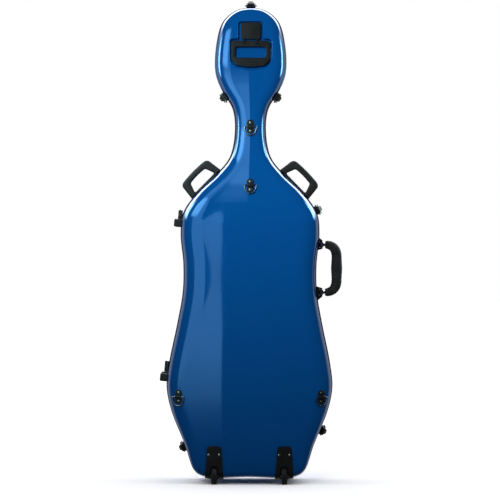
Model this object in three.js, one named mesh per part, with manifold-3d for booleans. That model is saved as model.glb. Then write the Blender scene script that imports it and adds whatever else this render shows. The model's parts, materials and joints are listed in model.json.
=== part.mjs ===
// Cello hard case, standing upright on its wheels: two moulded half shells on a side hinge, with their
// linings, latches, handles, strap rings, wheels and feet. Millimetres, +Z up, the back half towards -Y.
// Inside the case group x = 0 is the middle of the body, y = 0 the seam and z = 0 the floor.
import * as THREE from "three";
import { mergeVertices } from "three/addons/utils/BufferGeometryUtils.js";
import Module from "manifold-3d";

const wasm = await Module();
wasm.setup();

// Driving dimensions of the shells
const shellHeight = 1333;
const floorToShell = 17;
const lowerBoutWidth = 473;
const upperBoutWidth = 396;
const waistWidth = 380;
const neckWidth = 89;
const headWidth = 204;
const bottomFlatWidth = 250;
const backDepth = 135;
const lidDepth = 165;
const shellWall = 2.5;
const edgeRadius = 52;
const wallDraft = 4;
const backCrown = 7;
const lidCrown = 24;
const seamGap = 4;

// Clearances and cuts
const seatGap = 0.3;
const runGap = 0.35;
const linerGap = 0.4;
const overrun = 6;
const liningThickness = 12;

// Faces of round shapes
const outlineStepsPerSpan = 2;
const outerFaces = { columns: 2, edgeSteps: 3, stride: 1 };
const wallFaces = { columns: 1, edgeSteps: 3, stride: 1 };
const foamFaces = { columns: 1, edgeSteps: 1, stride: 2 };
const smallSides = 6;
const pinSides = 8;
const eyeSides = 12;
const wheelSides = 24;
const arcSteps = 2;

const up = new THREE.Vector3(0, 0, 1);
const across = new THREE.Vector3(1, 0, 0);
const towardsLid = new THREE.Vector3(0, 1, 0);
const vec = (x, y, z) => new THREE.Vector3(x, y, z);
const flat = (x, y) => new THREE.Vector2(x, y);
const mix = THREE.MathUtils.lerp;
const turn = (degrees) => THREE.MathUtils.degToRad(degrees);

// Solids: a closed geometry becomes a manifold for cuts and joins, and comes back as a geometry
const axisCount = 3;
const mergeReach = 1e-4;

function solid(geometry) {
  const bare = geometry.clone();
  bare.deleteAttribute("normal");
  bare.deleteAttribute("uv");
  const merged = mergeVertices(bare, mergeReach);
  const triVerts = new Uint32Array(merged.index.array);
  const vertProperties = new Float32Array(merged.attributes.position.array);
  const made = new wasm.Manifold(new wasm.Mesh({ numProp: axisCount, vertProperties, triVerts }));
  if (made.volume() > 0) return made;
  for (let i = 0; i < triVerts.length; i += axisCount) {
    const kept = triVerts[i];
    triVerts[i] = triVerts[i + 1];
    triVerts[i + 1] = kept;
  }
  return new wasm.Manifold(new wasm.Mesh({ numProp: axisCount, vertProperties, triVerts }));
}

function geometryOf(manifold) {
  const mesh = manifold.getMesh();
  const geometry = new THREE.BufferGeometry();
  geometry.setAttribute("position", new THREE.BufferAttribute(mesh.vertProperties, mesh.numProp));
  geometry.setIndex(new THREE.BufferAttribute(new Uint32Array(mesh.triVerts), 1));
  return geometry;
}

const placed = (geometry, frame) => solid(geometry.clone().applyMatrix4(frame));
const join = (...solids) => solids.reduce((all, next) => all.add(next));
const cut = (body, ...tools) => tools.reduce((left, tool) => left.subtract(tool), body);

function closed(vertices, faces) {
  const geometry = new THREE.BufferGeometry();
  const places = vertices.flatMap((p) => [p.x, p.y, p.z]);
  geometry.setAttribute("position", new THREE.Float32BufferAttribute(places, axisCount));
  geometry.setIndex(faces);
  return solid(geometry);
}

// A box from its lowest to its highest corner, and a rod between two points
function block(low, high) {
  const size = high.clone().sub(low);
  const middle = low.clone().add(high).divideScalar(2);
  return new THREE.BoxGeometry(size.x, size.y, size.z).translate(middle.x, middle.y, middle.z);
}

function rod(from, to, radius, sides = pinSides) {
  const along = to.clone().sub(from);
  const middle = from.clone().add(to).divideScalar(2);
  const spin = new THREE.Quaternion().setFromUnitVectors(towardsLid, along.clone().normalize());
  const geometry = new THREE.CylinderGeometry(radius, radius, along.length(), sides);
  return geometry.applyQuaternion(spin).translate(middle.x, middle.y, middle.z);
}

// Outlines as shapes, and the plates that are cut to them
function roundedRectangle(halfWidth, low, high, radius) {
  const shape = new THREE.Shape();
  shape.absarc(halfWidth - radius, low + radius, radius, turn(-90), 0);
  shape.absarc(halfWidth - radius, high - radius, radius, 0, turn(90));
  shape.absarc(radius - halfWidth, high - radius, radius, turn(90), turn(180));
  shape.absarc(radius - halfWidth, low + radius, radius, turn(180), turn(270));
  shape.closePath();
  return shape;
}

// Extruded along +Z from z = low to z = high, with chamfered rims where an edge size is given
function plate(shape, low, high, edge = 0) {
  const settings = { depth: high - low - 2 * edge, curveSegments: arcSteps, bevelEnabled: edge > 0 };
  Object.assign(settings, { bevelThickness: edge, bevelSize: edge, bevelOffset: -edge, bevelSegments: 1 });
  return new THREE.ExtrudeGeometry(shape, settings).translate(0, 0, low + edge);
}

// Turns a shape drawn in (y, z) and extruded along +Z into one extruded along X
const sideways = new THREE.Matrix4().makeBasis(towardsLid, up, across);

function sidePlate(shape, low, high, edge = 0) {
  return plate(shape, low, high, edge).applyMatrix4(sideways);
}

// A round bar along a line of points that lies in one plane, with its own radius at each share of the way
function bar(points, planeNormal, radiusAt, sides, isLoop = false) {
  const count = points.length;
  const vertices = [];
  const faces = [];
  for (let i = 0; i < count; i++) {
    const before = points[isLoop ? (i + count - 1) % count : Math.max(i - 1, 0)];
    const after = points[isLoop ? (i + 1) % count : Math.min(i + 1, count - 1)];
    const inward = points[i].clone().sub(before).normalize();
    const outward = after.clone().sub(points[i]).normalize();
    const along = inward.clone().add(outward).normalize();
    const half = inward.lengthSq() && outward.lengthSq() ? along.dot(outward) : 1;
    const wide = new THREE.Vector3().crossVectors(along, planeNormal).normalize();
    const radius = radiusAt(i / (count - 1));
    for (let k = 0; k < sides; k++) {
      const angle = ((2 * k + 1) / sides) * turn(180);
      const offset = wide.clone().multiplyScalar((radius * Math.cos(angle)) / half);
      vertices.push(points[i].clone().add(offset).addScaledVector(planeNormal, radius * Math.sin(angle)));
    }
  }
  const rings = isLoop ? count : count - 1;
  for (let i = 0; i < rings; i++)
    for (let k = 0; k < sides; k++) {
      const a = i * sides + k;
      const b = i * sides + ((k + 1) % sides);
      const c = ((i + 1) % count) * sides + k;
      const d = ((i + 1) % count) * sides + ((k + 1) % sides);
      faces.push(a, b, c, b, d, c);
    }
  if (!isLoop)
    for (let k = 1; k < sides - 1; k++) {
      const last = (count - 1) * sides;
      faces.push(0, k + 1, k, last, last + k, last + k + 1);
    }
  return closed(vertices, faces);
}

// Outline of the shells, right half, from the middle of the bottom to the middle of the head:
// share of the height, half width that it follows, share of that, share of the edge radius,
// share of the back's depth and share of the lid's depth
const lower = lowerBoutWidth / 2;
const upper = upperBoutWidth / 2;
const waist = waistWidth / 2;
const neck = neckWidth / 2;
const head = headWidth / 2;
const foot = bottomFlatWidth / 2;
const outlineShares = [
  [0, foot, 0, 0.42, 0.95, 0.8],
  [0, foot, 1, 0.42, 0.95, 0.8],
  [0.0143, foot, 1.264, 0.44, 0.96, 0.82],
  [0.0675, lower, 0.782, 0.7, 0.98, 0.87],
  [0.141, lower, 0.947, 0.95, 1, 0.93],
  [0.19, lower, 1, 1, 1, 0.97],
  [0.2423, lower, 0.97, 1, 1, 0.99],
  [0.3248, lower, 0.875, 1, 1, 1],
  [0.3923, waist, 1.008, 1, 1, 0.98],
  [0.4524, waist, 1, 1, 1, 0.94],
  [0.5169, upper, 1, 1, 1, 0.88],
  [0.5611, upper, 0.965, 1, 0.99, 0.82],
  [0.6069, upper, 0.753, 0.95, 0.94, 0.74],
  [0.6459, upper, 0.48, 0.85, 0.83, 0.65],
  [0.6812, neck, 1.315, 0.7, 0.69, 0.57],
  [0.7374, neck, 1, 0.6, 0.59, 0.51],
  [0.7839, neck, 1.157, 0.62, 0.6, 0.51],
  [0.8215, head, 0.794, 0.7, 0.63, 0.52],
  [0.8612, head, 0.985, 0.8, 0.65, 0.54],
  [0.925, head, 0.956, 0.8, 0.65, 0.54],
  [0.97, head, 0.78, 0.72, 0.63, 0.52],
  [0.994, head, 0.412, 0.6, 0.6, 0.48],
  [1, head, 0, 0.55, 0.58, 0.46],
];
const stations = outlineShares.map(([height, half, share, edge, back, lid]) => ({
  place: vec(half * share, floorToShell + height * shellHeight, 0),
  shape: vec(edge * edgeRadius, back * backDepth, lid * lidDepth),
}));
const mirrored = stations.slice(1, -1).reverse();
const outlineCurve = new THREE.CatmullRomCurve3(
  [...stations.map((s) => s.place), ...mirrored.map((s) => vec(-s.place.x, s.place.y, 0))],
  true,
  "centripetal",
);
const shapeCurve = new THREE.CatmullRomCurve3(
  [...stations, ...mirrored].map((s) => s.shape),
  true,
  "catmullrom",
);

// One point of the outline at a share of the way round: place, outward normal, edge radius and depths
function outlineAt(share) {
  const point = outlineCurve.getPoint(share);
  const tangent = outlineCurve.getTangent(share);
  const shape = shapeCurve.getPoint(share);
  return {
    point: vec(point.x, 0, point.y),
    out: vec(tangent.y, 0, -tangent.x).normalize(),
    edge: shape.x,
    depth: { back: shape.y, lid: shape.z },
  };
}

const outlineCount = outlineCurve.points.length * outlineStepsPerSpan;
const outline = Array.from({ length: outlineCount }, (_, i) => outlineAt(i / outlineCount));

// A height above the floor, as a share of the shell's height
const heightAt = (share) => floorToShell + share * shellHeight;

// The spot of the outline at a height, on the right (1) or left (-1) side
const shareReach = 1e-7;

function outlineAtHeight(height, side) {
  let low = 0;
  let high = 1 / 2;
  while (high - low > shareReach) {
    const middle = (low + high) / 2;
    if (outlineCurve.getPoint(middle).y < height) low = middle;
    else high = middle;
  }
  const found = outlineAt(low);
  found.point.x *= side;
  found.out.x *= side;
  return found;
}

// The full form of one half, inset by a wall, as a solid that is closed at the seam: a drafted side wall,
// a rounded edge and a crowned panel. The panel's middle line is spread at the flat ends, where rungs slant
const bottomSpreadSteps = 6;
const headSpreadSteps = 4;
const halves = {
  back: { side: -1, crown: backCrown },
  lid: { side: 1, crown: lidCrown },
};

function shellForm(which, inset, seamReach, faceting) {
  const { side, crown } = halves[which];
  const spots = outline.filter((_, i) => i % faceting.stride === 0);
  const vertices = [];
  for (let k = -1; k <= faceting.edgeSteps; k++)
    for (const { point, out, edge, depth } of spots) {
      const arc = (Math.max(k, 0) / faceting.edgeSteps) * turn(90);
      const radius = edge - inset;
      const wallDepth = depth[which] - edge;
      const draftShare = k < 0 ? seamReach / wallDepth : 1;
      const inward = inset + draftShare * wallDraft + radius * (1 - Math.cos(arc));
      const reach = k < 0 ? seamReach : wallDepth + radius * Math.sin(arc);
      vertices.push(point.clone().addScaledVector(out, -inward).setY(side * reach));
    }
  const count = spots.length;
  const faces = [];
  for (let r = 0; r <= faceting.edgeSteps; r++)
    for (let i = 0; i < count; i++) {
      const next = (i + 1) % count;
      const a = r * count + i;
      const b = r * count + next;
      faces.push(a, b, a + count, b, b + count, a + count);
    }
  const spread = (steps) => steps / faceting.stride;
  const ends = { bottom: spread(bottomSpreadSteps), head: spread(headSpreadSteps) };
  addPanel(vertices, faces, { ring: 0, count, ends, crown: 0, columns: 1, faceOut: false });
  const ring = (faceting.edgeSteps + 1) * count;
  const { columns } = faceting;
  addPanel(vertices, faces, { ring, count, ends, crown: side * crown, columns, faceOut: true });
  return closed(vertices, faces);
}

// Closes one ring of vertices by rungs from its right side to its left side
function addPanel(vertices, faces, { ring, count, ends, crown, columns, faceOut }) {
  const top = count / 2;
  const middleHeight = (i) => {
    const z = (k) => vertices[ring + k].z;
    if (i < ends.bottom) return mix(z(0), z(ends.bottom), i / ends.bottom);
    if (i > top - ends.head) return mix(z(top), z(top - ends.head), (top - i) / ends.head);
    return z(i);
  };
  const rungs = [];
  for (let i = 0; i <= top; i++) {
    const right = vertices[ring + i];
    const rung = [ring + i];
    const isEnd = i === 0 || i === top;
    if (!isEnd)
      for (let c = 1; c < 2 * columns; c++) {
        const share = 1 - Math.abs(c / columns - 1);
        const sideShare = c < columns ? 1 - share : share - 1;
        const bulge = crown * Math.min(1, right.x / waist) * (1 - (1 - share) ** 2);
        const height = mix(right.z, middleHeight(i), share);
        vertices.push(vec(right.x * sideShare, right.y + bulge, height));
        rung.push(vertices.length - 1);
      }
    if (!isEnd) rung.push(ring + count - i);
    rungs.push(rung);
  }
  const add = (a, b, c) => (faceOut ? faces.push(a, b, c) : faces.push(a, c, b));
  for (let i = 0; i < top; i++) {
    const [from, to] = [rungs[i], rungs[i + 1]];
    if (from.length === 1) for (let c = 0; c < to.length - 1; c++) add(from[0], to[c], to[c + 1]);
    else if (to.length === 1) for (let c = 0; c < from.length - 1; c++) add(from[c], to[0], from[c + 1]);
    else
      for (let c = 0; c < from.length - 1; c++) {
        add(from[c], to[c], to[c + 1]);
        add(from[c], to[c + 1], from[c + 1]);
      }
  }
}

const seamEdge = seamGap / 2;
const outerForm = {
  back: shellForm("back", 0, seamEdge, outerFaces),
  lid: shellForm("lid", 0, seamEdge, outerFaces),
};
// What sits on a shell from outside is cut by this slightly larger form
const seatForm = {
  back: shellForm("back", -seatGap, -overrun, outerFaces),
  lid: shellForm("lid", -seatGap, -overrun, outerFaces),
};
// What is bonded to a shell reaches half way into its wall
const bondForm = { lid: shellForm("lid", shellWall / 2, -overrun, wallFaces) };

// Depth of a half's panel and its outward normal at a place, measured on the form itself
const probes = {};
for (const which of ["back", "lid"]) {
  const target = new THREE.Mesh(geometryOf(outerForm[which]), new THREE.MeshStandardMaterial());
  target.geometry.computeVertexNormals();
  probes[which] = target;
}
const probeStart = 2 * (backDepth + lidDepth);

function panelAt(which, x, z) {
  const { side } = halves[which];
  const ray = new THREE.Raycaster(vec(x, side * probeStart, z), vec(0, -side, 0));
  const hit = ray.intersectObject(probes[which])[0];
  return { point: hit.point, out: hit.face.normal.clone() };
}

// Frames: local +Z out of the surface, local +Y up the panel, or towards the lid on the side wall
function frameFrom(point, out, second) {
  const wide = new THREE.Vector3().crossVectors(second, out).normalize();
  const long = new THREE.Vector3().crossVectors(out, wide).normalize();
  return new THREE.Matrix4().makeBasis(wide, long, out).setPosition(point);
}

const onPanel = (which, x, z) => {
  const { point, out } = panelAt(which, x, z);
  return frameFrom(point, out, up);
};
const onRim = (height, side) => {
  const { point, out } = outlineAtHeight(height, side);
  return frameFrom(point, out, towardsLid);
};

// Finishes
function finish(color, roughness, metalness) {
  return new THREE.MeshStandardMaterial({ color, roughness, metalness });
}

const paint = finish(0x00468c, 0.15, 0.5);
const blackPlastic = finish(0x161616, 0.5, 0);
const rubber = finish(0x1c1c1c, 0.85, 0);
const gripPlastic = finish(0x2a2a2c, 0.6, 0);
const chrome = finish(0xd8d8da, 0.12, 1);
const steel = finish(0xb9b9b5, 0.3, 1);
const velour = finish(0x20242c, 0.95, 0);
const velourPad = finish(0x2a2f3a, 0.95, 0);
const webbing = finish(0x151517, 0.9, 0);

const caseGroup = new THREE.Group();

function piece(name, form, material, frame) {
  const geometry = form.isBufferGeometry ? form : geometryOf(form);
  const mesh = new THREE.Mesh(geometry, material);
  mesh.name = name;
  if (frame) mesh.applyMatrix4(frame);
  caseGroup.add(mesh);
}

// Head handle: a recess in the back shell, a mount block screwed into it and a handle that folds out.
// Heights in these lists are counted from the handle's pin
const headPinShare = 0.9227;
const headPinHeight = heightAt(headPinShare);
const recess = {
  depth: 23,
  top: 59,
  shoulder: 10,
  bottom: -79,
  upperHalf: 36,
  lowerHalf: 60,
  corner: 9,
};
const headHandle = {
  half: 55,
  low: -70,
  high: 4,
  corner: 15,
  sag: 7,
  thickness: 14,
  edge: 3,
  sink: 1.5,
  openHalf: 43,
  openLow: -44,
  openHigh: -13,
  openCorner: 5,
};
const headMount = {
  half: 27,
  low: 9,
  high: 55,
  corner: 4,
  grooveHeight: 39,
  groove: 1.6,
  sink: 1,
};
const headLug = {
  inner: 15,
  outer: 22,
  radius: 5.6,
  pinRadius: 2,
  sideGap: 0.6,
  webHeight: 18,
};
const headPanel = panelAt("back", 0, headPinHeight).point.y;

// Shapes drawn as seen from behind, turned into the panel's plane and reaching between two depths
const standing = new THREE.Matrix4().makeBasis(across, up, vec(0, -1, 0));
const standingPlate = (shape, low, high, edge = 0) => plate(shape, -high, -low, edge).applyMatrix4(standing);
function headPlate(shape, low, high, edge) {
  return standingPlate(shape, low, high, edge).translate(0, 0, headPinHeight);
}

// How far up and in the rounded lower corners of the recess and the handle reach
const cornerRise = 27;
const cornerCreep = 3;

function recessShape(grow) {
  const { top, shoulder, bottom, upperHalf, lowerHalf, corner } = recess;
  const shape = new THREE.Shape();
  const [wide, slim] = [lowerHalf + grow, upperHalf + grow];
  const [low, mid, high] = [bottom - grow, shoulder + grow, top + grow];
  const sideFoot = low + cornerRise;
  shape.moveTo(0, low);
  shape.quadraticCurveTo(wide - corner, low, wide - cornerCreep, sideFoot);
  shape.lineTo(wide, mid - corner);
  shape.quadraticCurveTo(wide, mid, wide - corner, mid);
  shape.lineTo(slim, mid);
  shape.lineTo(slim, high - corner);
  shape.quadraticCurveTo(slim, high, slim - corner, high);
  shape.lineTo(corner - slim, high);
  shape.quadraticCurveTo(-slim, high, -slim, high - corner);
  shape.lineTo(-slim, mid);
  shape.lineTo(corner - wide, mid);
  shape.quadraticCurveTo(-wide, mid, -wide, mid - corner);
  shape.lineTo(cornerCreep - wide, sideFoot);
  shape.quadraticCurveTo(corner - wide, low, 0, low);
  return shape;
}

const recessFloor = headPanel + recess.depth;
const recessCut = solid(headPlate(recessShape(0), headPanel - 2 * overrun, recessFloor));
const recessCup = solid(headPlate(recessShape(shellWall), headPanel - 2 * overrun, recessFloor + shellWall));

function headHandleShape() {
  const { half: side, low, high, corner, sag, openHalf, openLow, openHigh, openCorner } = headHandle;
  const shape = new THREE.Shape();
  shape.moveTo(0, low);
  shape.quadraticCurveTo(side - corner, low, side - cornerCreep, low + sag + corner);
  shape.lineTo(side, high - corner);
  shape.quadraticCurveTo(side, high, side - corner, high);
  shape.lineTo(corner - side, high);
  shape.quadraticCurveTo(-side, high, -side, high - corner);
  shape.lineTo(cornerCreep - side, low + sag + corner);
  shape.quadraticCurveTo(corner - side, low, 0, low);
  shape.holes.push(roundedRectangle(openHalf, openLow, openHigh, openCorner));
  return shape;
}

const handleFront = headPanel + headHandle.sink;
const handleBack = handleFront + headHandle.thickness;
const headPin = vec(0, (handleFront + handleBack) / 2, headPinHeight);
const headPinReach = vec(headHandle.half - headHandle.corner, 0, 0);
const lugReach = headLug.radius + runGap;
const headHandleForm = () => {
  let form = solid(headPlate(headHandleShape(), handleFront, handleBack, headHandle.edge));
  for (const side of [-1, 1]) {
    const inner = headLug.inner - headLug.sideGap;
    const outer = headLug.outer + headLug.sideGap;
    const [left, right] = side > 0 ? [inner, outer] : [-outer, -inner];
    const low = vec(left, handleFront - overrun, headPin.z - lugReach);
    const high = vec(right, handleBack + overrun, headPin.z + headHandle.high + overrun);
    form = cut(form, solid(block(low, high)));
  }
  const reach = vec(headPinReach.x + headHandle.sink, 0, 0);
  const bore = rod(headPin.clone().sub(reach), headPin.clone().add(reach), headLug.pinRadius + runGap);
  return cut(form, solid(bore));
};

const headMountForm = () => {
  const { half: side, low, high, corner, grooveHeight, groove, sink } = headMount;
  const { inner, outer, radius, pinRadius, webHeight } = headLug;
  const front = headPanel + sink;
  const seat = recessFloor - seatGap;
  const mountBlock = solid(headPlate(roundedRectangle(side, low, high, corner), front, seat, groove));
  const grooveLow = vec(-side - overrun, front - overrun, headPin.z + grooveHeight - groove / 2);
  const grooveHigh = vec(side + overrun, front + groove, headPin.z + grooveHeight + groove / 2);
  const sweep = Math.hypot(headHandle.high, headHandle.thickness / 2) + runGap;
  const wide = vec(side + overrun, 0, 0);
  const sweepRod = rod(headPin.clone().sub(wide), headPin.clone().add(wide), sweep, eyeSides);
  let form = cut(mountBlock, solid(block(grooveLow, grooveHigh)), solid(sweepRod));
  for (const lugSide of [-1, 1]) {
    const from = headPin.clone().setX(lugSide * inner);
    const to = headPin.clone().setX(lugSide * outer);
    const webLow = vec(Math.min(from.x, to.x), headPin.y, headPin.z);
    const webHigh = vec(Math.max(from.x, to.x), seat, headPin.z + webHeight);
    form = join(form, solid(rod(from, to, radius, eyeSides)), solid(block(webLow, webHigh)));
  }
  const pin = rod(headPin.clone().sub(headPinReach), headPin.clone().add(headPinReach), pinRadius);
  return join(form, solid(pin));
};

// Wheels at the lower back corners, each in a housing that is let into the shell
const wheelShare = 0.79;
const wheelSpread = wheelShare * foot;
const wheel = {
  radius: 25.5,
  width: 17,
  bore: 3.4,
  hub: 9,
  hubSink: 2,
  crownEdge: 3.5,
  axleRadius: 3,
};
const housing = {
  bottomHalf: 26.5,
  topHalf: 19.5,
  low: 12,
  high: 109,
  corner: 7,
  proud: 4,
  wall: 3.5,
  slotHalf: 11,
  archTop: 52,
  wheelGap: 3.5,
  wheelProud: 1.5,
  seatHeight: 84,
};
const backFace = panelAt("back", wheelSpread, housing.seatHeight).point.y;
const axle = vec(wheelSpread, backFace - housing.proud - housing.wheelProud + wheel.radius, wheel.radius);
const bucketHalf = housing.slotHalf + housing.wall;
const bucketTop = wheel.radius * 2 + housing.wheelGap + housing.wall;
const bucketFront = axle.y + wheel.radius + housing.wheelGap + housing.wall;

function bucketBlock(side, grow) {
  const x = side * axle.x;
  const low = vec(x - bucketHalf - grow, backFace - overrun, housing.low - grow);
  return solid(block(low, vec(x + bucketHalf + grow, bucketFront + grow, bucketTop + grow)));
}

function housingForm(side) {
  const { bottomHalf, topHalf, low, high, corner, proud, slotHalf, archTop, wheelGap } = housing;
  const shape = new THREE.Shape();
  shape.moveTo(-bottomHalf, low);
  shape.lineTo(bottomHalf, low);
  shape.lineTo(topHalf, high - corner);
  shape.quadraticCurveTo(topHalf, high, topHalf - corner, high);
  shape.lineTo(corner - topHalf, high);
  shape.quadraticCurveTo(-topHalf, high, -topHalf, high - corner);
  shape.closePath();
  const shift = new THREE.Matrix4().makeTranslation(side * axle.x, 0, 0);
  const skin = shellForm("back", -proud, -overrun, outerFaces);
  const flangeFront = -backDepth + edgeRadius + proud;
  let flange = placed(standingPlate(shape, backFace - 2 * overrun, flangeFront), shift);
  flange = cut(flange.intersect(skin), seatForm.back);
  let form = join(flange, bucketBlock(side, 0).intersect(skin));
  const arch = new THREE.Shape();
  arch.moveTo(-slotHalf, low - overrun);
  arch.lineTo(slotHalf, low - overrun);
  arch.lineTo(slotHalf, archTop - slotHalf);
  arch.absarc(0, archTop - slotHalf, slotHalf, 0, turn(180));
  arch.closePath();
  form = cut(form, placed(standingPlate(arch, backFace - 2 * overrun, axle.y), shift));
  const slotSide = vec(slotHalf, 0, 0);
  const centre = axle.clone().setX(side * axle.x);
  const [left, right] = [centre.clone().sub(slotSide), centre.clone().add(slotSide)];
  form = cut(form, solid(rod(left, right, wheel.radius + wheelGap, wheelSides)));
  const floor = vec(centre.x - slotHalf, axle.y - wheel.radius, low - overrun);
  const ahead = vec(centre.x + slotHalf, axle.y + wheel.radius + wheelGap, axle.z);
  const reach = vec(bucketHalf - wheel.axleRadius / 2, 0, 0);
  const axleRod = rod(centre.clone().sub(reach), centre.clone().add(reach), wheel.axleRadius);
  return join(cut(form, solid(block(floor, ahead))), solid(axleRod));
}

const wheelForm = () => {
  const { radius, width, bore, hub, hubSink, crownEdge } = wheel;
  const edge = width / 2;
  const profile = [
    flat(bore, -edge),
    flat(hub, -edge),
    flat(hub + hubSink, hubSink - edge),
    flat(radius - 2 * crownEdge, -edge),
    flat(radius, crownEdge - edge),
  ];
  const rim = [...profile, ...profile.map((p) => flat(p.x, -p.y)).reverse()];
  rim.push(rim[0].clone());
  return new THREE.LatheGeometry(rim, wheelSides).rotateZ(turn(90));
};

// Back shell, lid shell, gasket and linings
const hollow = (which) => shellForm(which, shellWall, -overrun, wallFaces);

const backShell = () => {
  let shell = cut(outerForm.back, hollow("back"));
  shell = join(shell, cut(recessCup.intersect(outerForm.back), recessCut));
  shell = cut(shell, recessCut);
  for (const side of [-1, 1]) shell = cut(shell, bucketBlock(side, seatGap));
  return shell;
};

const gasketTop = seamEdge - seatGap;
const gasketWidth = shellWall + liningThickness / 2;

function gasketForm() {
  const low = -seamEdge + seatGap;
  const vertices = [];
  const faces = [];
  const corners = [
    [seatGap, low],
    [gasketWidth, low],
    [gasketWidth, gasketTop],
    [seatGap, gasketTop],
  ];
  for (const { point, out } of outline)
    for (const [inset, y] of corners) vertices.push(point.clone().addScaledVector(out, -inset).setY(y));
  for (let i = 0; i < outlineCount; i++)
    for (let k = 0; k < corners.length; k++) {
      const a = i * corners.length + k;
      const b = i * corners.length + ((k + 1) % corners.length);
      const c = ((i + 1) % outlineCount) * corners.length + k;
      const d = ((i + 1) % outlineCount) * corners.length + ((k + 1) % corners.length);
      faces.push(a, c, b, b, c, d);
    }
  return closed(vertices, faces);
}

const cavityInset = shellWall + linerGap + liningThickness;
function liningForm(which) {
  const skin = shellForm(which, shellWall + linerGap, seamEdge, wallFaces);
  const lining = cut(skin, shellForm(which, cavityInset, -overrun, foamFaces));
  if (which === "lid") return lining;
  const cupWall = shellWall + linerGap;
  const recessRoom = headPlate(recessShape(cupWall), headPanel, recessFloor + cupWall);
  return cut(lining, solid(recessRoom), bucketBlock(-1, linerGap), bucketBlock(1, linerGap));
}

piece("back_shell", backShell(), paint);
piece("rim_gasket", gasketForm(), rubber);
piece("back_lining", liningForm("back"), velour);

piece("head_handle_mount", headMountForm(), blackPlastic);
piece("head_handle", headHandleForm(), blackPlastic);

const wheelSidesOfCase = [
  ["left", -1],
  ["right", 1],
];
for (const [name, side] of wheelSidesOfCase) {
  piece(`wheel_housing_${name}`, housingForm(side), blackPlastic);
  const place = new THREE.Matrix4().makeTranslation(side * axle.x, axle.y, axle.z);
  piece(`wheel_${name}`, wheelForm(), rubber, place);
}
const bothSides = (make) => join(make(-1), make(1));

// Strap rings: a two-lobed plate with a raised strap, two screws and a ring that swings in the strap
const ring = { half: 16.5, drop: 25, wire: 1.9, lift: 5.8, sides: 6 };
const ringPlate = { lobe: 10.5, spread: 9.5, thickness: 3, strapHalf: 9, strapWide: 5, strapTop: 9.4 };
const ringShares = [
  ["neck", 0, 0.7438],
  ["upper", 0, 0.6182],
  ["lower_left", -0.841, 0.1725],
  ["lower_right", 0.85, 0.1725],
];
const ringFrames = ringShares.map(([, x, z]) => onPanel("back", x * lower, heightAt(z)));

const waistShare = 0.6;

function ringPlateForm(frame) {
  const { lobe, spread, thickness, strapHalf, strapWide, strapTop } = ringPlate;
  const shape = new THREE.Shape();
  const waistAngle = Math.acos((spread / lobe) * waistShare);
  shape.absarc(0, spread, lobe, waistAngle - turn(90), turn(270) - waistAngle);
  shape.absarc(0, -spread, lobe, turn(90) + waistAngle, turn(450) - waistAngle);
  shape.closePath();
  let form = placed(plate(shape, -overrun, thickness), frame);
  const strap = roundedRectangle(strapWide, 0, strapTop, strapWide / 2);
  form = join(form, placed(sidePlate(strap, -strapHalf, strapHalf), frame));
  const bore = rod(vec(-ring.half, 0, ring.lift), vec(ring.half, 0, ring.lift), ring.wire + runGap);
  return cut(form, placed(bore, frame), seatForm.back);
}

function ringForm() {
  const { half: side, drop, wire, lift, sides } = ring;
  const loop = new THREE.Path();
  loop.moveTo(-side, 0);
  loop.lineTo(side, 0);
  loop.quadraticCurveTo(side, -drop, 0, -drop);
  loop.quadraticCurveTo(-side, -drop, -side, 0);
  const points = loop.getPoints(2 * arcSteps).slice(0, -1);
  const lifted = points.map((p) => vec(p.x, p.y, lift));
  return bar(lifted, up, () => wire, sides, true);
}

for (const [i, [name]] of ringShares.entries()) {
  piece(`ring_plate_${name}`, ringPlateForm(ringFrames[i]), blackPlastic);
  piece(`strap_ring_${name}`, ringForm(), chrome, ringFrames[i]);
}

// Draw latches on the rim: base with two ears, pin, domed lever, wire bail and the keeper on the lid
const latch = {
  pinY: -13,
  pinZ: 8,
  pinRadius: 1.5,
  earInner: 10,
  earOuter: 13,
  earHalf: 4.5,
  earTop: 12,
  plateHalf: 13,
  plateBack: -44,
  plateFront: -6,
  plateTop: 3.2,
  leverHalf: 9.4,
};
const bail = { wire: 1.3, arm: 15, hookY: 14, hookZ: 5, rootY: -21, rootZ: 6.5, stub: 6.5, sides: 6 };
const keeper = { half: 9.4, back: 5, front: 24, chamfer: 1.4 };
const latchShares = [
  ["head_top", 1, 0],
  ["head_left", 0.8095, -1],
  ["head_right", 0.8095, 1],
  ["upper_right", 0.5671, 1],
  ["lower_right", 0.0998, 1],
  ["lower_left", 0.0638, -1],
];
const latchFrames = latchShares.map(([, share, side]) => {
  if (side) return onRim(heightAt(share), side);
  return frameFrom(vec(0, 0, heightAt(share)), up.clone(), towardsLid);
});

const leverShares = [
  [-0.09, 0.32],
  [-0.11, 0.6],
  [-0.04, 0.72],
  [0.08, 0.97],
  [0.35, 1],
  [0.7, 0.85],
  [0.95, 0.5],
  [1, 0.24],
  [0.3, 0.24],
];
const leverLength = 35;
const leverHeight = 17.3;

function latchLeverForm() {
  const corners = leverShares.map(([y, z]) => flat(latch.pinY - y * leverLength, z * leverHeight));
  const side = new THREE.Shape(corners);
  const { leverHalf } = latch;
  const front = new THREE.Shape([
    flat(-leverHalf, 0),
    flat(leverHalf, 0),
    flat(leverHalf, leverHeight / 2),
    flat(leverHalf / 2, leverHeight),
    flat(-leverHalf / 2, leverHeight),
    flat(-leverHalf, leverHeight / 2),
  ]);
  const dome = placed(plate(front, -overrun, 2 * leverLength), standing);
  const form = solid(sidePlate(side, -latch.leverHalf, latch.leverHalf)).intersect(dome);
  const reach = latch.leverHalf + overrun;
  const bore = (y, z, radius) => {
    const roomy = (radius + runGap) / Math.cos(turn(180) / smallSides);
    return solid(rod(vec(-reach, y, z), vec(reach, y, z), roomy, smallSides));
  };
  const { pinY, pinZ, pinRadius } = latch;
  return cut(form, bore(pinY, pinZ, pinRadius), bore(bail.rootY, bail.rootZ, bail.wire));
}

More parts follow.
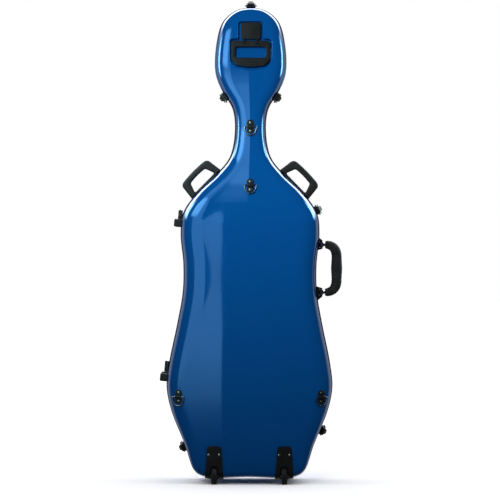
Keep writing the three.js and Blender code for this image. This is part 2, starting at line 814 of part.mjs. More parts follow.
function latchBailForm() {
  const { wire, arm, hookY, hookZ, rootY, rootZ, stub, sides } = bail;
  const bend = 2 * wire;
  const root = vec(0, rootY, rootZ);
  const run = vec(0, hookY, hookZ).sub(root);
  const along = run.clone().normalize();
  const at = (x, reach) => root.clone().addScaledVector(along, reach).setX(x);
  const length = run.length();
  const lowRight = [at(stub, 0), at(arm - bend, 0), at(arm, bend)];
  const right = [...lowRight, at(arm, length - bend), at(arm - bend, length)];
  const left = right.map((p) => p.clone().setX(-p.x)).reverse();
  const normal = new THREE.Vector3().crossVectors(across, along).normalize();
  return bar([...right, ...left], normal, () => wire, sides);
}

function latchBaseForm(frame) {
  const { plateHalf, plateBack, plateFront, plateTop } = latch;
  const { earInner, earOuter, earHalf, earTop, pinY, pinZ } = latch;
  const ear = new THREE.Shape();
  ear.moveTo(pinY - earHalf, -overrun);
  ear.lineTo(pinY + earHalf, -overrun);
  ear.lineTo(pinY + earHalf, pinZ);
  ear.lineTo(pinY + earHalf / 2, earTop);
  ear.lineTo(pinY - earHalf / 2, earTop);
  ear.lineTo(pinY - earHalf, pinZ);
  ear.closePath();
  const foot = block(vec(-plateHalf, plateBack, -overrun), vec(plateHalf, plateFront, plateTop));
  let form = placed(foot, frame);
  form = join(form, placed(sidePlate(ear, earInner, earOuter), frame));
  form = join(form, placed(sidePlate(ear, -earOuter, -earInner), frame));
  const pin = rod(vec(-earOuter, pinY, pinZ), vec(earOuter, pinY, pinZ), latch.pinRadius, smallSides);
  return cut(join(form, placed(pin, frame)), seatForm.back);
}

// The bail's wire lies just above the keeper, so that the lid can also move while a latch is shut
function keeperForm(frame) {
  const { half: side, back, front, chamfer } = keeper;
  const top = bail.hookZ - bail.wire - runGap;
  const ramp = new THREE.Shape();
  ramp.moveTo(back, -overrun);
  ramp.lineTo(front, -overrun);
  ramp.lineTo(front, top - chamfer);
  ramp.lineTo(front - chamfer, top);
  ramp.lineTo(back + chamfer, top);
  ramp.lineTo(back, top - chamfer);
  ramp.closePath();
  return cut(placed(sidePlate(ramp, -side, side), frame), bondForm.lid);
}

// The keepers are riveted to the lid shell for good, so they are one solid with it
piece("lid_shell", join(cut(outerForm.lid, hollow("lid")), ...latchFrames.map(keeperForm)), paint);
for (const [i, [name]] of latchShares.entries()) {
  piece(`latch_base_${name}`, latchBaseForm(latchFrames[i]), blackPlastic);
  piece(`latch_lever_${name}`, latchLeverForm(), blackPlastic, latchFrames[i]);
  piece(`latch_bail_${name}`, latchBailForm(), chrome, latchFrames[i]);
}

// Hinges on the left side: both pins lie on one line, outside the wall
const hinge = {
  stand: 6.2,
  knuckle: 4.5,
  pinRadius: 2,
  half: 22,
  split: 8,
  splitGap: 0.4,
  leafNear: 2.6,
  leafReach: 27,
  leafTop: 2.2,
  web: 4,
};
const hingeShares = [0.2281, 0.5506];
const hingePoints = hingeShares.map((share) => {
  const { point, out } = outlineAtHeight(heightAt(share), -1);
  return point.addScaledVector(out.setZ(0).normalize(), hinge.stand);
});
const hingeLine = hingePoints[1].clone().sub(hingePoints[0]).normalize();
const hingeOut = new THREE.Vector3().crossVectors(hingeLine, towardsLid).normalize();
// Local +Z along the pin, local +Y towards the lid, local +X into the case
const hingeFrames = hingePoints.map((point) =>
  new THREE.Matrix4().makeBasis(hingeOut.clone().negate(), towardsLid, hingeLine).setPosition(point),
);

function hingeLeaf(frame, towards, spans, bore) {
  const { stand, knuckle, half: reach, leafReach, leafTop, leafNear, web } = hinge;
  const near = towards * leafNear;
  const far = towards * leafReach;
  const leafLow = vec(stand - leafTop, Math.min(near, far), -reach);
  let form = solid(block(leafLow, vec(stand + 2 * overrun, Math.max(near, far), reach)));
  for (const [low, high] of spans) {
    const link = towards * 2 * web;
    const webLow = vec(0, Math.min(0, link), low);
    const webBlock = block(webLow, vec(stand, Math.max(0, link), high));
    form = join(form, solid(rod(vec(0, 0, low), vec(0, 0, high), knuckle)), solid(webBlock));
  }
  const pin = (radius) => solid(rod(vec(0, 0, -reach), vec(0, 0, reach), radius));
  form = bore ? cut(form, pin(hinge.pinRadius + runGap)) : join(form, pin(hinge.pinRadius));
  return form.transform(frame.elements);
}

const { half: hingeReach, split, splitGap } = hinge;
const backSpans = [
  [-hingeReach, -split],
  [split, hingeReach],
];
const lidSpans = [[splitGap - split, split - splitGap]];
for (const [i, name] of ["lower", "upper"].entries()) {
  const backLeaf = cut(hingeLeaf(hingeFrames[i], -1, backSpans, false), seatForm.back);
  const lidLeaf = cut(hingeLeaf(hingeFrames[i], 1, lidSpans, true), seatForm.lid);
  piece(`hinge_leaf_back_${name}`, backLeaf, blackPlastic);
  piece(`hinge_leaf_lid_${name}`, lidLeaf, blackPlastic);
}

// Feet: two on the left side of each half, beside the hinges, and two under the lid half
const sideFoot = { half: 11, near: 36, far: 74, proud: 18, corner: 5, edge: 3 };
const sideFootShares = [0.2108, 0.5386];
const frontFoot = { near: 84, far: 112, half: 15, corner: 6, edge: 2.5 };

const sideFootFrames = sideFootShares.map((share) => {
  const { point } = outlineAtHeight(heightAt(share), -1);
  return frameFrom(point, hingeOut, towardsLid);
});

function sideFootForm(frame, towards, seat) {
  const near = Math.min(towards * sideFoot.near, towards * sideFoot.far);
  const far = Math.max(towards * sideFoot.near, towards * sideFoot.far);
  const shape = roundedRectangle(sideFoot.half, near, far, sideFoot.corner);
  const form = plate(shape, -sideFoot.proud, sideFoot.proud, sideFoot.edge);
  return cut(placed(form, frame), seat);
}

const frontFootForm = (side) => {
  const shape = roundedRectangle(frontFoot.half, -frontFoot.far, -frontFoot.near, frontFoot.corner);
  const form = plate(shape, -floorToShell - overrun, 0, frontFoot.edge);
  const under = new THREE.Matrix4().makeRotationX(turn(180)).setPosition(side * wheelSpread, 0, 0);
  return cut(placed(form, under), seatForm.lid);
};
for (const [i, name] of ["lower", "upper"].entries()) {
  piece(`side_foot_back_${name}`, sideFootForm(sideFootFrames[i], -1, seatForm.back), rubber);
  piece(`side_foot_lid_${name}`, sideFootForm(sideFootFrames[i], 1, seatForm.lid), rubber);
}
for (const [name, side] of wheelSidesOfCase) piece(`front_foot_${name}`, frontFootForm(side), rubber);

// Shoulder handles: fixed moulded loops along the sloping shoulders of the back half
const shoulderShares = { low: 0.5941, high: 0.6512, near: 0.163 };
const shoulder = {
  thickness: 22,
  height: 48,
  foot: 57,
  lean: 6,
  edge: 3,
  bow: 3,
  corner: 14,
  openFoot: 39,
  openTop: 29,
  openLow: 4.5,
  openHigh: 32,
  openCorner: 8,
};

function shoulderFrame(side) {
  const low = outlineAtHeight(heightAt(shoulderShares.low), side).point;
  const high = outlineAtHeight(heightAt(shoulderShares.high), side).point;
  const chord = high.clone().sub(low).normalize();
  const out = vec(chord.z, 0, -chord.x).multiplyScalar(side);
  return frameFrom(low.add(high).divideScalar(2), out, towardsLid);
}

function shoulderShape() {
  const { height, foot: reach, lean, corner, bow } = shoulder;
  const { openFoot, openTop, openLow, openHigh, openCorner } = shoulder;
  const top = reach - lean;
  const shape = new THREE.Shape();
  shape.moveTo(-reach, -overrun);
  shape.lineTo(reach, -overrun);
  shape.lineTo(top, height - corner);
  shape.quadraticCurveTo(top - lean / 2, height, top - corner, height);
  shape.quadraticCurveTo(0, height + bow, corner - top, height);
  shape.quadraticCurveTo(lean / 2 - top, height, -top, height - corner);
  shape.closePath();
  const hole = new THREE.Path();
  hole.moveTo(-openFoot, openLow);
  hole.lineTo(openFoot, openLow);
  hole.lineTo(openTop + openCorner / 2, openHigh - openCorner);
  hole.quadraticCurveTo(openTop, openHigh, openTop - openCorner / 2, openHigh);
  hole.quadraticCurveTo(0, openHigh + bow, openCorner / 2 - openTop, openHigh);
  hole.quadraticCurveTo(-openTop, openHigh, -openTop - openCorner / 2, openHigh - openCorner);
  hole.closePath();
  shape.holes.push(hole);
  return shape;
}

// The shape's own (x, y) lie along the chord and outwards, so the extrusion runs towards the back
const shoulderNear = shoulderShares.near * backDepth;
const shoulderFar = shoulderNear + shoulder.thickness;
for (const [name, side] of wheelSidesOfCase) {
  const form = standingPlate(shoulderShape(), -shoulderFar, -shoulderNear, shoulder.edge);
  piece(`shoulder_handle_${name}`, cut(placed(form, shoulderFrame(side)), seatForm.back), gripPlastic);
}

// Carry handle on the right side: staple brackets with a bar, a strap core with eyes and a padded grip
const carryShares = { height: 0.4437, depth: 0.37 };
const carry = {
  stand: 5.6, sink: 15, eyeSpread: 67.5, barRadius: 2.6, eyeRadius: 6.4, eyeHalf: 7.5, coreRadius: 4.5,
};
const carryMiddle = heightAt(carryShares.height);
const lowEye = carryMiddle - carry.eyeSpread;
const highEye = carryMiddle + carry.eyeSpread;
const wallAt = (height) => outlineAtHeight(height, 1).point.x;
const carryX = Math.max(wallAt(lowEye), wallAt(highEye)) + carry.stand;
const carryY = -carryShares.depth * backDepth;
const staple = { half: 12, wide: 9, top: 4, slope: 10, flare: 7 };
const grip = { endRadius: 11.5, midRadius: 15, bulge: 2, reach: 44, start: 8, bend: 36.5 };
const gripFaces = { sides: 8, steps: 16 };
const gripShares = { taper: 0.25, swellWidth: 0.1 };
const carryAxisAt = (z) => vec(carryX, carryY, z);

function stapleForm(z, outwardEnd) {
  const { half: reach, wide, top, slope, flare } = staple;
  const outer = carryX + top;
  const inner = carryX - top;
  const root = Math.min(wallAt(z - reach), wallAt(z + reach)) - carry.sink;
  const shape = new THREE.Shape();
  const endA = reach + (outwardEnd > 0 ? slope : flare / 2);
  const endB = reach + (outwardEnd > 0 ? flare / 2 : slope);
  shape.moveTo(root, z - endB - flare);
  shape.lineTo(inner - top, z - endB);
  shape.lineTo(outer, z - reach);
  shape.lineTo(outer, z + reach);
  shape.lineTo(inner - top, z + endA);
  shape.lineTo(root, z + endA + flare);
  shape.closePath();
  const roomHalf = carry.eyeHalf + runGap;
  let form = solid(standingPlate(shape, carryY - wide, carryY + wide));
  const sweep = (carry.eyeRadius + runGap) / Math.cos(turn(180) / eyeSides);
  const room = rod(carryAxisAt(z - roomHalf), carryAxisAt(z + roomHalf), sweep, eyeSides);
  const openLow = vec(carryX - carry.coreRadius - runGap, carryY - 2 * wide, z - roomHalf);
  const open = block(openLow, vec(outer + overrun, carryY + 2 * wide, z + roomHalf));
  form = cut(form, solid(room), solid(open));
  const fixedBar = rod(carryAxisAt(z - reach), carryAxisAt(z + reach), carry.barRadius);
  return cut(join(form, solid(fixedBar)), seatForm.back);
}

function carryLine() {
  const outer = carryX + grip.reach;
  const line = new THREE.Path();
  const bendHigh = grip.bend;
  line.moveTo(carryX, lowEye);
  line.lineTo(carryX + grip.start, lowEye);
  line.quadraticCurveTo(outer, lowEye, outer, lowEye + bendHigh);
  line.lineTo(outer, highEye - bendHigh);
  line.quadraticCurveTo(outer, highEye, carryX + grip.start, highEye);
  line.lineTo(carryX, highEye);
  return line;
}

function carryCoreForm() {
  const points = carryLine().getPoints(arcSteps).map((p) => vec(p.x, carryY, p.y));
  let form = bar(points, towardsLid, () => carry.coreRadius, smallSides);
  for (const z of [lowEye, highEye]) {
    const [low, high] = [carryAxisAt(z - carry.eyeHalf), carryAxisAt(z + carry.eyeHalf)];
    form = join(form, solid(rod(low, high, carry.eyeRadius, eyeSides)));
  }
  for (const z of [lowEye, highEye]) {
    const [low, high] = [carryAxisAt(z - 2 * carry.eyeHalf), carryAxisAt(z + 2 * carry.eyeHalf)];
    form = cut(form, solid(rod(low, high, carry.barRadius + runGap)));
  }
  return form;
}

function carryGripForm() {
  const { endRadius, midRadius, bulge, start } = grip;
  const all = carryLine().getSpacedPoints(gripFaces.steps).map((p) => vec(p.x, carryY, p.y));
  const points = all.filter((p) => p.x > carryX + start - seatGap);
  const radiusAt = (share) => {
    const fromEnd = Math.min(1, Math.min(share, 1 - share) / gripShares.taper);
    const fromMiddle = (share - 1 / 2) / gripShares.swellWidth;
    return mix(endRadius, midRadius, fromEnd) + bulge * Math.exp(-(fromMiddle ** 2));
  };
  const room = carryLine().getPoints(arcSteps).map((p) => vec(p.x, carryY, p.y));
  const bore = bar(room, towardsLid, () => carry.coreRadius + seatGap, smallSides);
  return cut(bar(points, towardsLid, radiusAt, gripFaces.sides), bore);
}

piece("carry_handle_bracket_lower", stapleForm(lowEye, -1), blackPlastic);
piece("carry_handle_bracket_upper", stapleForm(highEye, 1), blackPlastic);
piece("carry_handle_core", carryCoreForm(), steel);
piece("carry_handle_grip", carryGripForm(), rubber);

// Inside: neck cradle and strap, end pad, shoulder pads, bow clips and pockets, and a pouch
const cavity = {
  back: shellForm("back", cavityInset + seatGap, -overrun, foamFaces),
  lid: shellForm("lid", cavityInset + seatGap, -overrun, foamFaces),
};
const sewnForm = shellForm("lid", cavityInset - liningThickness / 2, -overrun, foamFaces);
const cradleShare = 0.7262;
const cradle = { height: 45, front: -6, notchHalf: 17, notchDepth: 34, notchRound: 15 };
const neckBand = { half: 12, thickness: 2.5 };
const endPadShare = 0.72;
const endPad = { high: 62, front: -14, notchHalf: 14, notchDepth: 22 };
const shoulderPadShares = { low: 0.5439, inner: 0.485 };
const shoulderPad = { height: 58, front: -10 };
const pouchShare = 0.8425;
const pouch = { half: 62, height: 128, thickness: 46, edge: 8 };
const bowClipShares = { x: 0.5, height: 0.2348 };
const bowClip = { height: 30, half: 9, wide: 15, lip: 2 };
const bowCatch = { tongue: 34, half: 6, round: 5.4, thickness: 5, pin: 3 };
const bowPocketShares = { x: 0.434, low: 0.5709 };
const bowPocket = { height: 48, half: 15, thickness: 22, wall: 3 };

const deepBack = -backDepth - overrun;
const cradleLow = heightAt(cradleShare);
const neckBandForm = () => {
  const middleHeight = cradleLow + cradle.height / 2;
  const low = vec(-neckWidth, cradle.front - neckBand.thickness / 2, middleHeight - neckBand.half);
  return solid(block(low, vec(neckWidth, cradle.front + neckBand.thickness, middleHeight + neckBand.half)));
};
const cradleForm = () => {
  const { height, front, notchHalf, notchDepth, notchRound } = cradle;
  const body = solid(block(vec(-neckWidth, deepBack, cradleLow), vec(neckWidth, front, cradleLow + height)));
  const notch = roundedRectangle(notchHalf, -notchDepth, 2 * notchDepth, notchRound);
  const lying = new THREE.Matrix4().makeBasis(across, towardsLid, up).setPosition(0, front, cradleLow);
  const notchTool = placed(plate(notch, -overrun, height + overrun), lying);
  return join(cut(body, notchTool), neckBandForm()).intersect(cavity.back);
};
const endPadForm = () => {
  const { high, front, notchHalf, notchDepth } = endPad;
  const reach = endPadShare * foot;
  const body = solid(block(vec(-reach, deepBack, 0), vec(reach, front, high)));
  const notchLow = vec(-notchHalf, deepBack, high - notchDepth);
  const notch = solid(block(notchLow, vec(notchHalf, front + overrun, high + overrun)));
  return cut(body.intersect(cavity.back), notch, bucketBlock(-1, linerGap), bucketBlock(1, linerGap));
};
const shoulderPadForm = (side) => {
  const low = heightAt(shoulderPadShares.low);
  const inner = shoulderPadShares.inner * upper;
  const [left, right] = side > 0 ? [inner, upperBoutWidth] : [-upperBoutWidth, -inner];
  const highest = vec(right, shoulderPad.front, low + shoulderPad.height);
  return solid(block(vec(left, deepBack, low), highest)).intersect(cavity.back);
};
piece("neck_cradle", cradleForm(), velourPad);
piece("end_pad", endPadForm(), velourPad);
for (const [name, side] of wheelSidesOfCase) piece(`shoulder_pad_${name}`, shoulderPadForm(side), velourPad);

// Places in the lid are measured down from the lining's face
const liningFace = (x, z) => panelAt("lid", x, z).point.y - cavityInset - seatGap;
const pouchForm = () => {
  const { half: reach, height, thickness, edge } = pouch;
  const low = heightAt(pouchShare);
  const face = liningFace(0, low + height / 2);
  const shape = roundedRectangle(reach, low, low + height, 2 * edge);
  return solid(standingPlate(shape, face - thickness, face + thickness, edge)).intersect(cavity.lid);
};
piece("accessory_pouch", pouchForm(), webbing);

const clipX = bowClipShares.x * lower;
const clipZ = heightAt(bowClipShares.height);
const clipTop = liningFace(clipX, clipZ) - bowClip.height;
const bowClipForm = (side) => {
  const { half: reach, wide, height } = bowClip;
  const { pin, thickness } = bowCatch;
  const at = side * clipX;
  const foam = solid(block(vec(at - reach, clipTop, clipZ - wide), vec(at + reach, lidDepth, clipZ + wide)));
  const postLow = vec(at, clipTop - thickness - 2 * seatGap, clipZ);
  const post = solid(rod(vec(at, clipTop + overrun, clipZ), postLow, pin));
  const notchNear = vec(at - side * reach * 2, clipTop - overrun, clipZ - wide / 2);
  const notchFar = vec(at - side * bowClip.lip, clipTop + height / 2, clipZ + wide / 2);
  const notch = block(notchNear.clone().min(notchFar), notchNear.clone().max(notchFar));
  return join(cut(foam.intersect(sewnForm), solid(notch)), post);
};
const bowCatchForm = (side) => {
  const { tongue, half: reach, round, thickness, pin } = bowCatch;
  const at = side * clipX;
  const shape = roundedRectangle(reach, -reach, tongue - reach, round);
  const form = standingPlate(shape, -thickness, 0).translate(at, clipTop - seatGap, clipZ);
  const bore = rod(vec(at, clipTop - 2 * overrun, clipZ), vec(at, clipTop + overrun, clipZ), pin + runGap);
  return cut(solid(form), solid(bore));
};
for (const [name, side] of wheelSidesOfCase) piece(`bow_catch_${name}`, bowCatchForm(side), blackPlastic);

const bowPocketForm = (side) => {
  const { height, half: reach, thickness, wall } = bowPocket;
  const at = side * bowPocketShares.x * upper;
  const low = heightAt(bowPocketShares.low);
  const high = low + height;
  const face = liningFace(at, low + height / 2);
  const body = block(vec(at - reach, face - thickness, low), vec(at + reach, lidDepth, high));
  const insideLow = vec(at - reach + wall, face - thickness + wall, low - overrun);
  const inside = block(insideLow, vec(at + reach - wall, face - 2 * wall, high - wall));
  return cut(solid(body).intersect(sewnForm), solid(inside));
};
// Bow clips and tip pockets are sewn into the lid's lining, so they are one solid with it
piece("lid_lining", join(liningForm("lid"), bothSides(bowClipForm), bothSides(bowPocketForm)), velour);

// The origin of the part is the middle of its footprint, on the floor
const extent = new THREE.Box3().setFromObject(caseGroup);
const middle = extent.getCenter(vec(0, 0, 0));
caseGroup.position.set(-middle.x, -middle.y, -extent.min.z);

const celloCase = new THREE.Group();
celloCase.add(caseGroup);

export default celloCase;
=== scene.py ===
# Cello hard case, seen from behind, standing on its wheels. Metres, +Z up, the back half towards -Y.
import json
import math

import bmesh
import bpy
from mathutils import Matrix, Vector
from mathutils.bvhtree import BVHTree


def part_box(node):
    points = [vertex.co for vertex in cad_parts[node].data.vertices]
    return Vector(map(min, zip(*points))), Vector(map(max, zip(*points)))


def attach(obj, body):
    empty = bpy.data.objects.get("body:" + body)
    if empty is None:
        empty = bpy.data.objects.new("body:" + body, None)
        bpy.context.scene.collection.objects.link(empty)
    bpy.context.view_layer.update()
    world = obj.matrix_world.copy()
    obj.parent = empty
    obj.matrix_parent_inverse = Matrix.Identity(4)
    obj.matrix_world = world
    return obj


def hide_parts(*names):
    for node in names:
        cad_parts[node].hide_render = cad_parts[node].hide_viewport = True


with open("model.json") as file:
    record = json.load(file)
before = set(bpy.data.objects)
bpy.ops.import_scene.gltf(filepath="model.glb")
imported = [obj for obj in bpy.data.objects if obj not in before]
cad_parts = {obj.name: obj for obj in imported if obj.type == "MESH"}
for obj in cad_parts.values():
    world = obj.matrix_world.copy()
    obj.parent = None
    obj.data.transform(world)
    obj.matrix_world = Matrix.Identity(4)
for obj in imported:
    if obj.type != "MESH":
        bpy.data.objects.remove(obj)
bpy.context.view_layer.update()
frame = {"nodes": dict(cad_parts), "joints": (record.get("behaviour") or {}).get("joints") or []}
scene = bpy.context.scene
scene.view_settings.view_transform = "Standard"

# Camera: straight behind the case, half way up it, with a long lens, so that the sides run parallel.
# It is turned by a hair, as the photograph is.
view_height, view_distance, view_width = 0.660, 9.0, 1.425
view_roll = -0.2
seam_low, seam_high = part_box("rim_gasket")
middle = Vector(((seam_low.x + seam_high.x) / 2, (seam_low.y + seam_high.y) / 2, 0))
lens = bpy.data.cameras.new("camera")
lens.sensor_width = 36
lens.lens = lens.sensor_width * view_distance / view_width
camera = bpy.data.objects.new("camera", lens)
scene.collection.objects.link(camera)
camera.location = (middle.x, middle.y - view_distance, view_height)
camera.rotation_euler = (math.radians(90), math.radians(view_roll), 0)
scene.camera = camera

# Floor: a wide sheet of matt white paper under the case, which keeps the case's shadow and which the camera
# sees burnt out to white wherever nothing shades it.
floor_size = 30.0
floor_colour = (0.35, 0.35, 0.35, 1)
floor_seen = (2.15, 2.12, 2.08, 1)


def new_material(name):
    made = bpy.data.materials.new(name)
    made.use_nodes = True
    return made, made.node_tree, made.node_tree.nodes["Principled BSDF"]


def fill_inputs(tree, node, values):
    """Sets a node's inputs, each to a value or to another node's output."""
    for name, value in values.items():
        if isinstance(value, bpy.types.NodeSocket):
            tree.links.new(value, node.inputs[name])
        else:
            node.inputs[name].default_value = value
    return node


def add_node(tree, kind, values, **settings):
    node = tree.nodes.new(f"ShaderNode{kind}")
    for name, value in settings.items():
        setattr(node, name, value)
    return fill_inputs(tree, node, values)


def blended(tree, factor, first, second):
    values = {"Factor": factor, "A": first, "B": second}
    return add_node(tree, "Mix", values, data_type="RGBA", clamp_result=False).outputs["Result"]


def paper():
    made, tree, shader = new_material("floor_paper")
    tree.nodes.remove(shader)
    ways = add_node(tree, "LightPath", {})
    seen = blended(tree, ways.outputs["Is Camera Ray"], floor_colour, floor_seen)
    shade = add_node(tree, "BsdfDiffuse", {"Color": seen})
    fill_inputs(tree, tree.nodes["Material Output"], {"Surface": shade.outputs[0]})
    return made


def finished(name, bm, material, smooth_angle=35):
    mesh = bpy.data.meshes.new(name)
    bm.to_mesh(mesh)
    bm.free()
    mesh.materials.append(material)
    made = bpy.data.objects.new(name, mesh)
    scene.collection.objects.link(made)
    mesh.shade_smooth()
    mesh.set_sharp_from_angle(angle=math.radians(smooth_angle))
    return made


floor_bm = bmesh.new()
bmesh.ops.create_grid(floor_bm, x_segments=1, y_segments=1, size=floor_size)
floor = finished("floor", floor_bm, paper())
floor.visible_glossy = False

# Room: a white studio round the case, as the camera and clear things see it. What the paint mirrors is given
# by direction: a bright top, paler sides, and a dark gap straight behind that keeps its outermost edge dark.
ambient_tint, ambient_low, ambient_high, ambient_top = (0.97, 0.98, 1, 1), 0.12, 0.62, 0.8
mirrored_tint = (0.8, 0.8, 0.8, 1)
room_dim = 0.03
paper_edge, paper_soft = 0.5, 0.2
flag_edge, flag_soft = 0.8, 0.15
top_low, top_high, top_near, top_far = 0.15, 0.45, 0.6, 0.85
side_strength, top_strength = 0.6, 10.0


def maths(tree, operation, *values):
    return add_node(tree, "Math", dict(enumerate(values)), operation=operation).outputs[0]


def fade(tree, value, low, high, start=0.0, end=1.0):
    """A soft change from one number to another while a value goes from low to high."""
    values = {"Value": value, "From Min": low, "From Max": high, "To Min": start, "To Max": end}
    return add_node(tree, "MapRange", values, interpolation_type="SMOOTHSTEP").outputs["Result"]


world = bpy.data.worlds.new("studio")
scene.world = world
world.use_nodes = True
room = world.node_tree
direction = add_node(room, "TexCoord", {}).outputs["Generated"]
axes = add_node(room, "SeparateXYZ", {0: direction})
to_back, to_top = axes.outputs["Y"], axes.outputs["Z"]
above = fade(room, to_top, top_low, top_high, 0.0, top_strength)
above = maths(room, "MULTIPLY", above, fade(room, to_back, top_near, top_far, 1.0, 0.0))
beside = fade(room, to_back, flag_edge, flag_edge + flag_soft, side_strength, 0.0)
not_front = fade(room, to_back, paper_edge - paper_soft, paper_edge)
paper_seen = maths(room, "MULTIPLY", maths(room, "ADD", above, beside), not_front)
mirrored_strength = maths(room, "ADD", paper_seen, room_dim)
ambient_strength = fade(room, to_top, 0.0, ambient_top, ambient_low, ambient_high)
backdrop = fill_inputs(room, room.nodes["Background"], {"Color": (1, 1, 1, 1), "Strength": 1.0})
mirrored = add_node(room, "Background", {"Color": mirrored_tint, "Strength": mirrored_strength})
ambient = add_node(room, "Background", {"Color": ambient_tint, "Strength": ambient_strength})
ways = add_node(room, "LightPath", {}).outputs
lit = add_node(room, "MixShader", {0: ways["Is Glossy Ray"], 1: ambient.outputs[0], 2: mirrored.outputs[0]})
clear = maths(room, "MAXIMUM", ways["Is Camera Ray"], ways["Is Transmission Ray"])
seen = add_node(room, "MixShader", {0: clear, 1: lit.outputs[0], 2: backdrop.outputs[0]})
fill_inputs(room, room.nodes["World Output"], {"Surface": seen.outputs[0]})

# Lamps: one soft spot from the front lights the case. The cards only show in what is glossy, as the pale
# shapes that the photograph's paint mirrors: low and high on the left, on the head, and beside the neck.
key_place, key_aim = (-0.7, -4.0, 1.7), (0, 0, 1.0)
key_power, key_angle, key_radius = 680, 26, 0.5
pale_blue, deep_blue = (0.5, 0.92, 1), (0.15, 0.5, 1)
low_shares, high_shares, strip_shares = (0.3, 0.0, 0.3, 0.25), (0.3, 0.0, 0.5, 0.5), (0.4, 0.4, 0.3, 0.3)
# Each card: name, place, aim, size, radiance, tint and the shares of its face that fade on each side
cards = [
    ("low_left_card", (-0.65, -0.8, 0.72), (-0.65, 0, 0.72), (0.98, 1.46), 1.25, pale_blue, low_shares),
    ("high_left_card", (-0.33, -0.3, 1.03), (-0.33, 0, 1.03), (0.63, 0.32), 1.7, pale_blue, high_shares),
    ("head_window", (-0.72, -0.78, 1.4), (0, 0, 1.3), (0.95, 0.6), 4.5, pale_blue, (0.2, 0.3, 0.25, 0.25)),
    ("left_head_strip", (-0.95, 0.12, 1.22), (0, 0, 1.2), (0.4, 0.7), 12, pale_blue, strip_shares),
    ("left_head_edge", (-0.3, 0.95, 1.22), (-0.08, 0, 1.2), (0.25, 0.4), 0.3, deep_blue, strip_shares),
    ("right_head_strip", (0.95, 0.12, 1.22), (0, 0, 1.2), (0.4, 0.7), 12, pale_blue, strip_shares),
    ("right_head_edge", (0.3, 0.95, 1.22), (0.08, 0, 1.2), (0.25, 0.4), 0.3, deep_blue, strip_shares),
]


def placed_lamp(name, kind, place, aim):
    made = bpy.data.objects.new(name, bpy.data.lights.new(name, kind))
    scene.collection.objects.link(made)
    made.location = place
    made.rotation_euler = (Vector(aim) - Vector(place)).to_track_quat("-Z", "Y").to_euler()
    return made


for name, place, aim, (width, height), radiance, tint, (left, right, bottom, top) in cards:
    card = placed_lamp(name, "AREA", place, aim)
    card.visible_camera = False
    card.visible_diffuse = False
    card.data.shape = "RECTANGLE"
    card.data.size = width
    card.data.size_y = height
    card.data.energy = radiance * math.pi * width * height
    card.data.color = tint
    card.data.use_nodes = True
    tree = card.data.node_tree
    face = add_node(tree, "NewGeometry", {}).outputs["Parametric"]
    sides = add_node(tree, "SeparateXYZ", {0: face}).outputs
    shine = 1.0
    for axis, start, end in (("X", 0, left), ("X", 1, 1 - right), ("Y", 0, bottom), ("Y", 1, 1 - top)):
        if start != end:
            shine = maths(tree, "MULTIPLY", shine, fade(tree, sides[axis], start, end))
    fill_inputs(tree, tree.nodes["Emission"], {"Strength": shine})
key = placed_lamp("key_spot", "SPOT", key_place, key_aim)
key.visible_glossy = False
key.data.energy = key_power
key.data.spot_size = math.radians(key_angle)
key.data.spot_blend = 1.0
key.data.shadow_soft_size = key_radius

# Shells: two halves of moulded fibreglass, painted a glossy metallic blue. Each has a drafted side wall,
# a rounded edge and a crowned panel. The back has a recess for the head handle and cuts for the wheels.
shell_height, shell_foot, shell_wall = 1.333, 0.017, 0.0025
lower_half, upper_half, waist_half = 0.2365, 0.198, 0.19
neck_half, head_half, bottom_half = 0.0445, 0.102, 0.125
half_depths = {"back": 0.135, "lid": 0.165}
half_crowns = {"back": 0.007, "lid": 0.024}
half_sides = {"back": -1, "lid": 1}
edge_radius, wall_draft, seam_edge = 0.052, 0.004, 0.002
wall_steps, edge_steps, panel_steps, steps_per_span = 4, 12, 14, 9
bottom_spread, head_spread = 3, 2
shell_angle = 60
weld = 0.0002
wave_strength, wave_depth = 0.02, 0.01
# Each row, from the bottom up: share of the height, a half width and a share of it, then the shares of the
# edge's radius, of the back's depth and of the lid's depth
outline_shares = [
    (0, bottom_half, 0, 0.42, 0.95, 0.8),
    (0, bottom_half, 1, 0.42, 0.95, 0.8),
    (0.0143, bottom_half, 1.264, 0.44, 0.96, 0.82),
    (0.0675, lower_half, 0.782, 0.7, 0.98, 0.87),
    (0.141, lower_half, 0.947, 0.95, 1, 0.93),
    (0.19, lower_half, 1, 1, 1, 0.97),
    (0.2423, lower_half, 0.97, 1, 1, 0.99),
    (0.3248, lower_half, 0.875, 1, 1, 1),
    (0.3923, waist_half, 1.008, 1, 1, 0.98),
    (0.4524, waist_half, 1, 1, 1, 0.94),
    (0.5169, upper_half, 1, 1, 1, 0.88),
    (0.5611, upper_half, 0.965, 1, 0.99, 0.82),
    (0.6069, upper_half, 0.753, 0.95, 0.94, 0.74),
    (0.6459, upper_half, 0.48, 0.85, 0.83, 0.65),
    (0.6812, neck_half, 1.315, 0.7, 0.69, 0.57),
    (0.7374, neck_half, 1, 0.6, 0.59, 0.51),
    (0.7839, neck_half, 1.157, 0.62, 0.6, 0.51),
    (0.8215, head_half, 0.794, 0.7, 0.63, 0.52),
    (0.8612, head_half, 0.985, 0.8, 0.65, 0.54),
    (0.925, head_half, 0.956, 0.8, 0.65, 0.54),
    (0.97, head_half, 0.78, 0.72, 0.63, 0.52),
    (0.994, head_half, 0.412, 0.6, 0.6, 0.48),
    (1, head_half, 0, 0.55, 0.58, 0.46),
]


def station(height, half, share, edge, back, lid):
    place = Vector((half * share, shell_foot + height * shell_height, 0))
    return place, Vector((edge * edge_radius, back * half_depths["back"], lid * half_depths["lid"]))


right_stations = [station(*row) for row in outline_shares]
left_stations = [(Vector((-p.x, p.y, 0)), s) for p, s in reversed(right_stations[1:-1])]
stations = right_stations + left_stations
span_count = len(right_stations) - 1


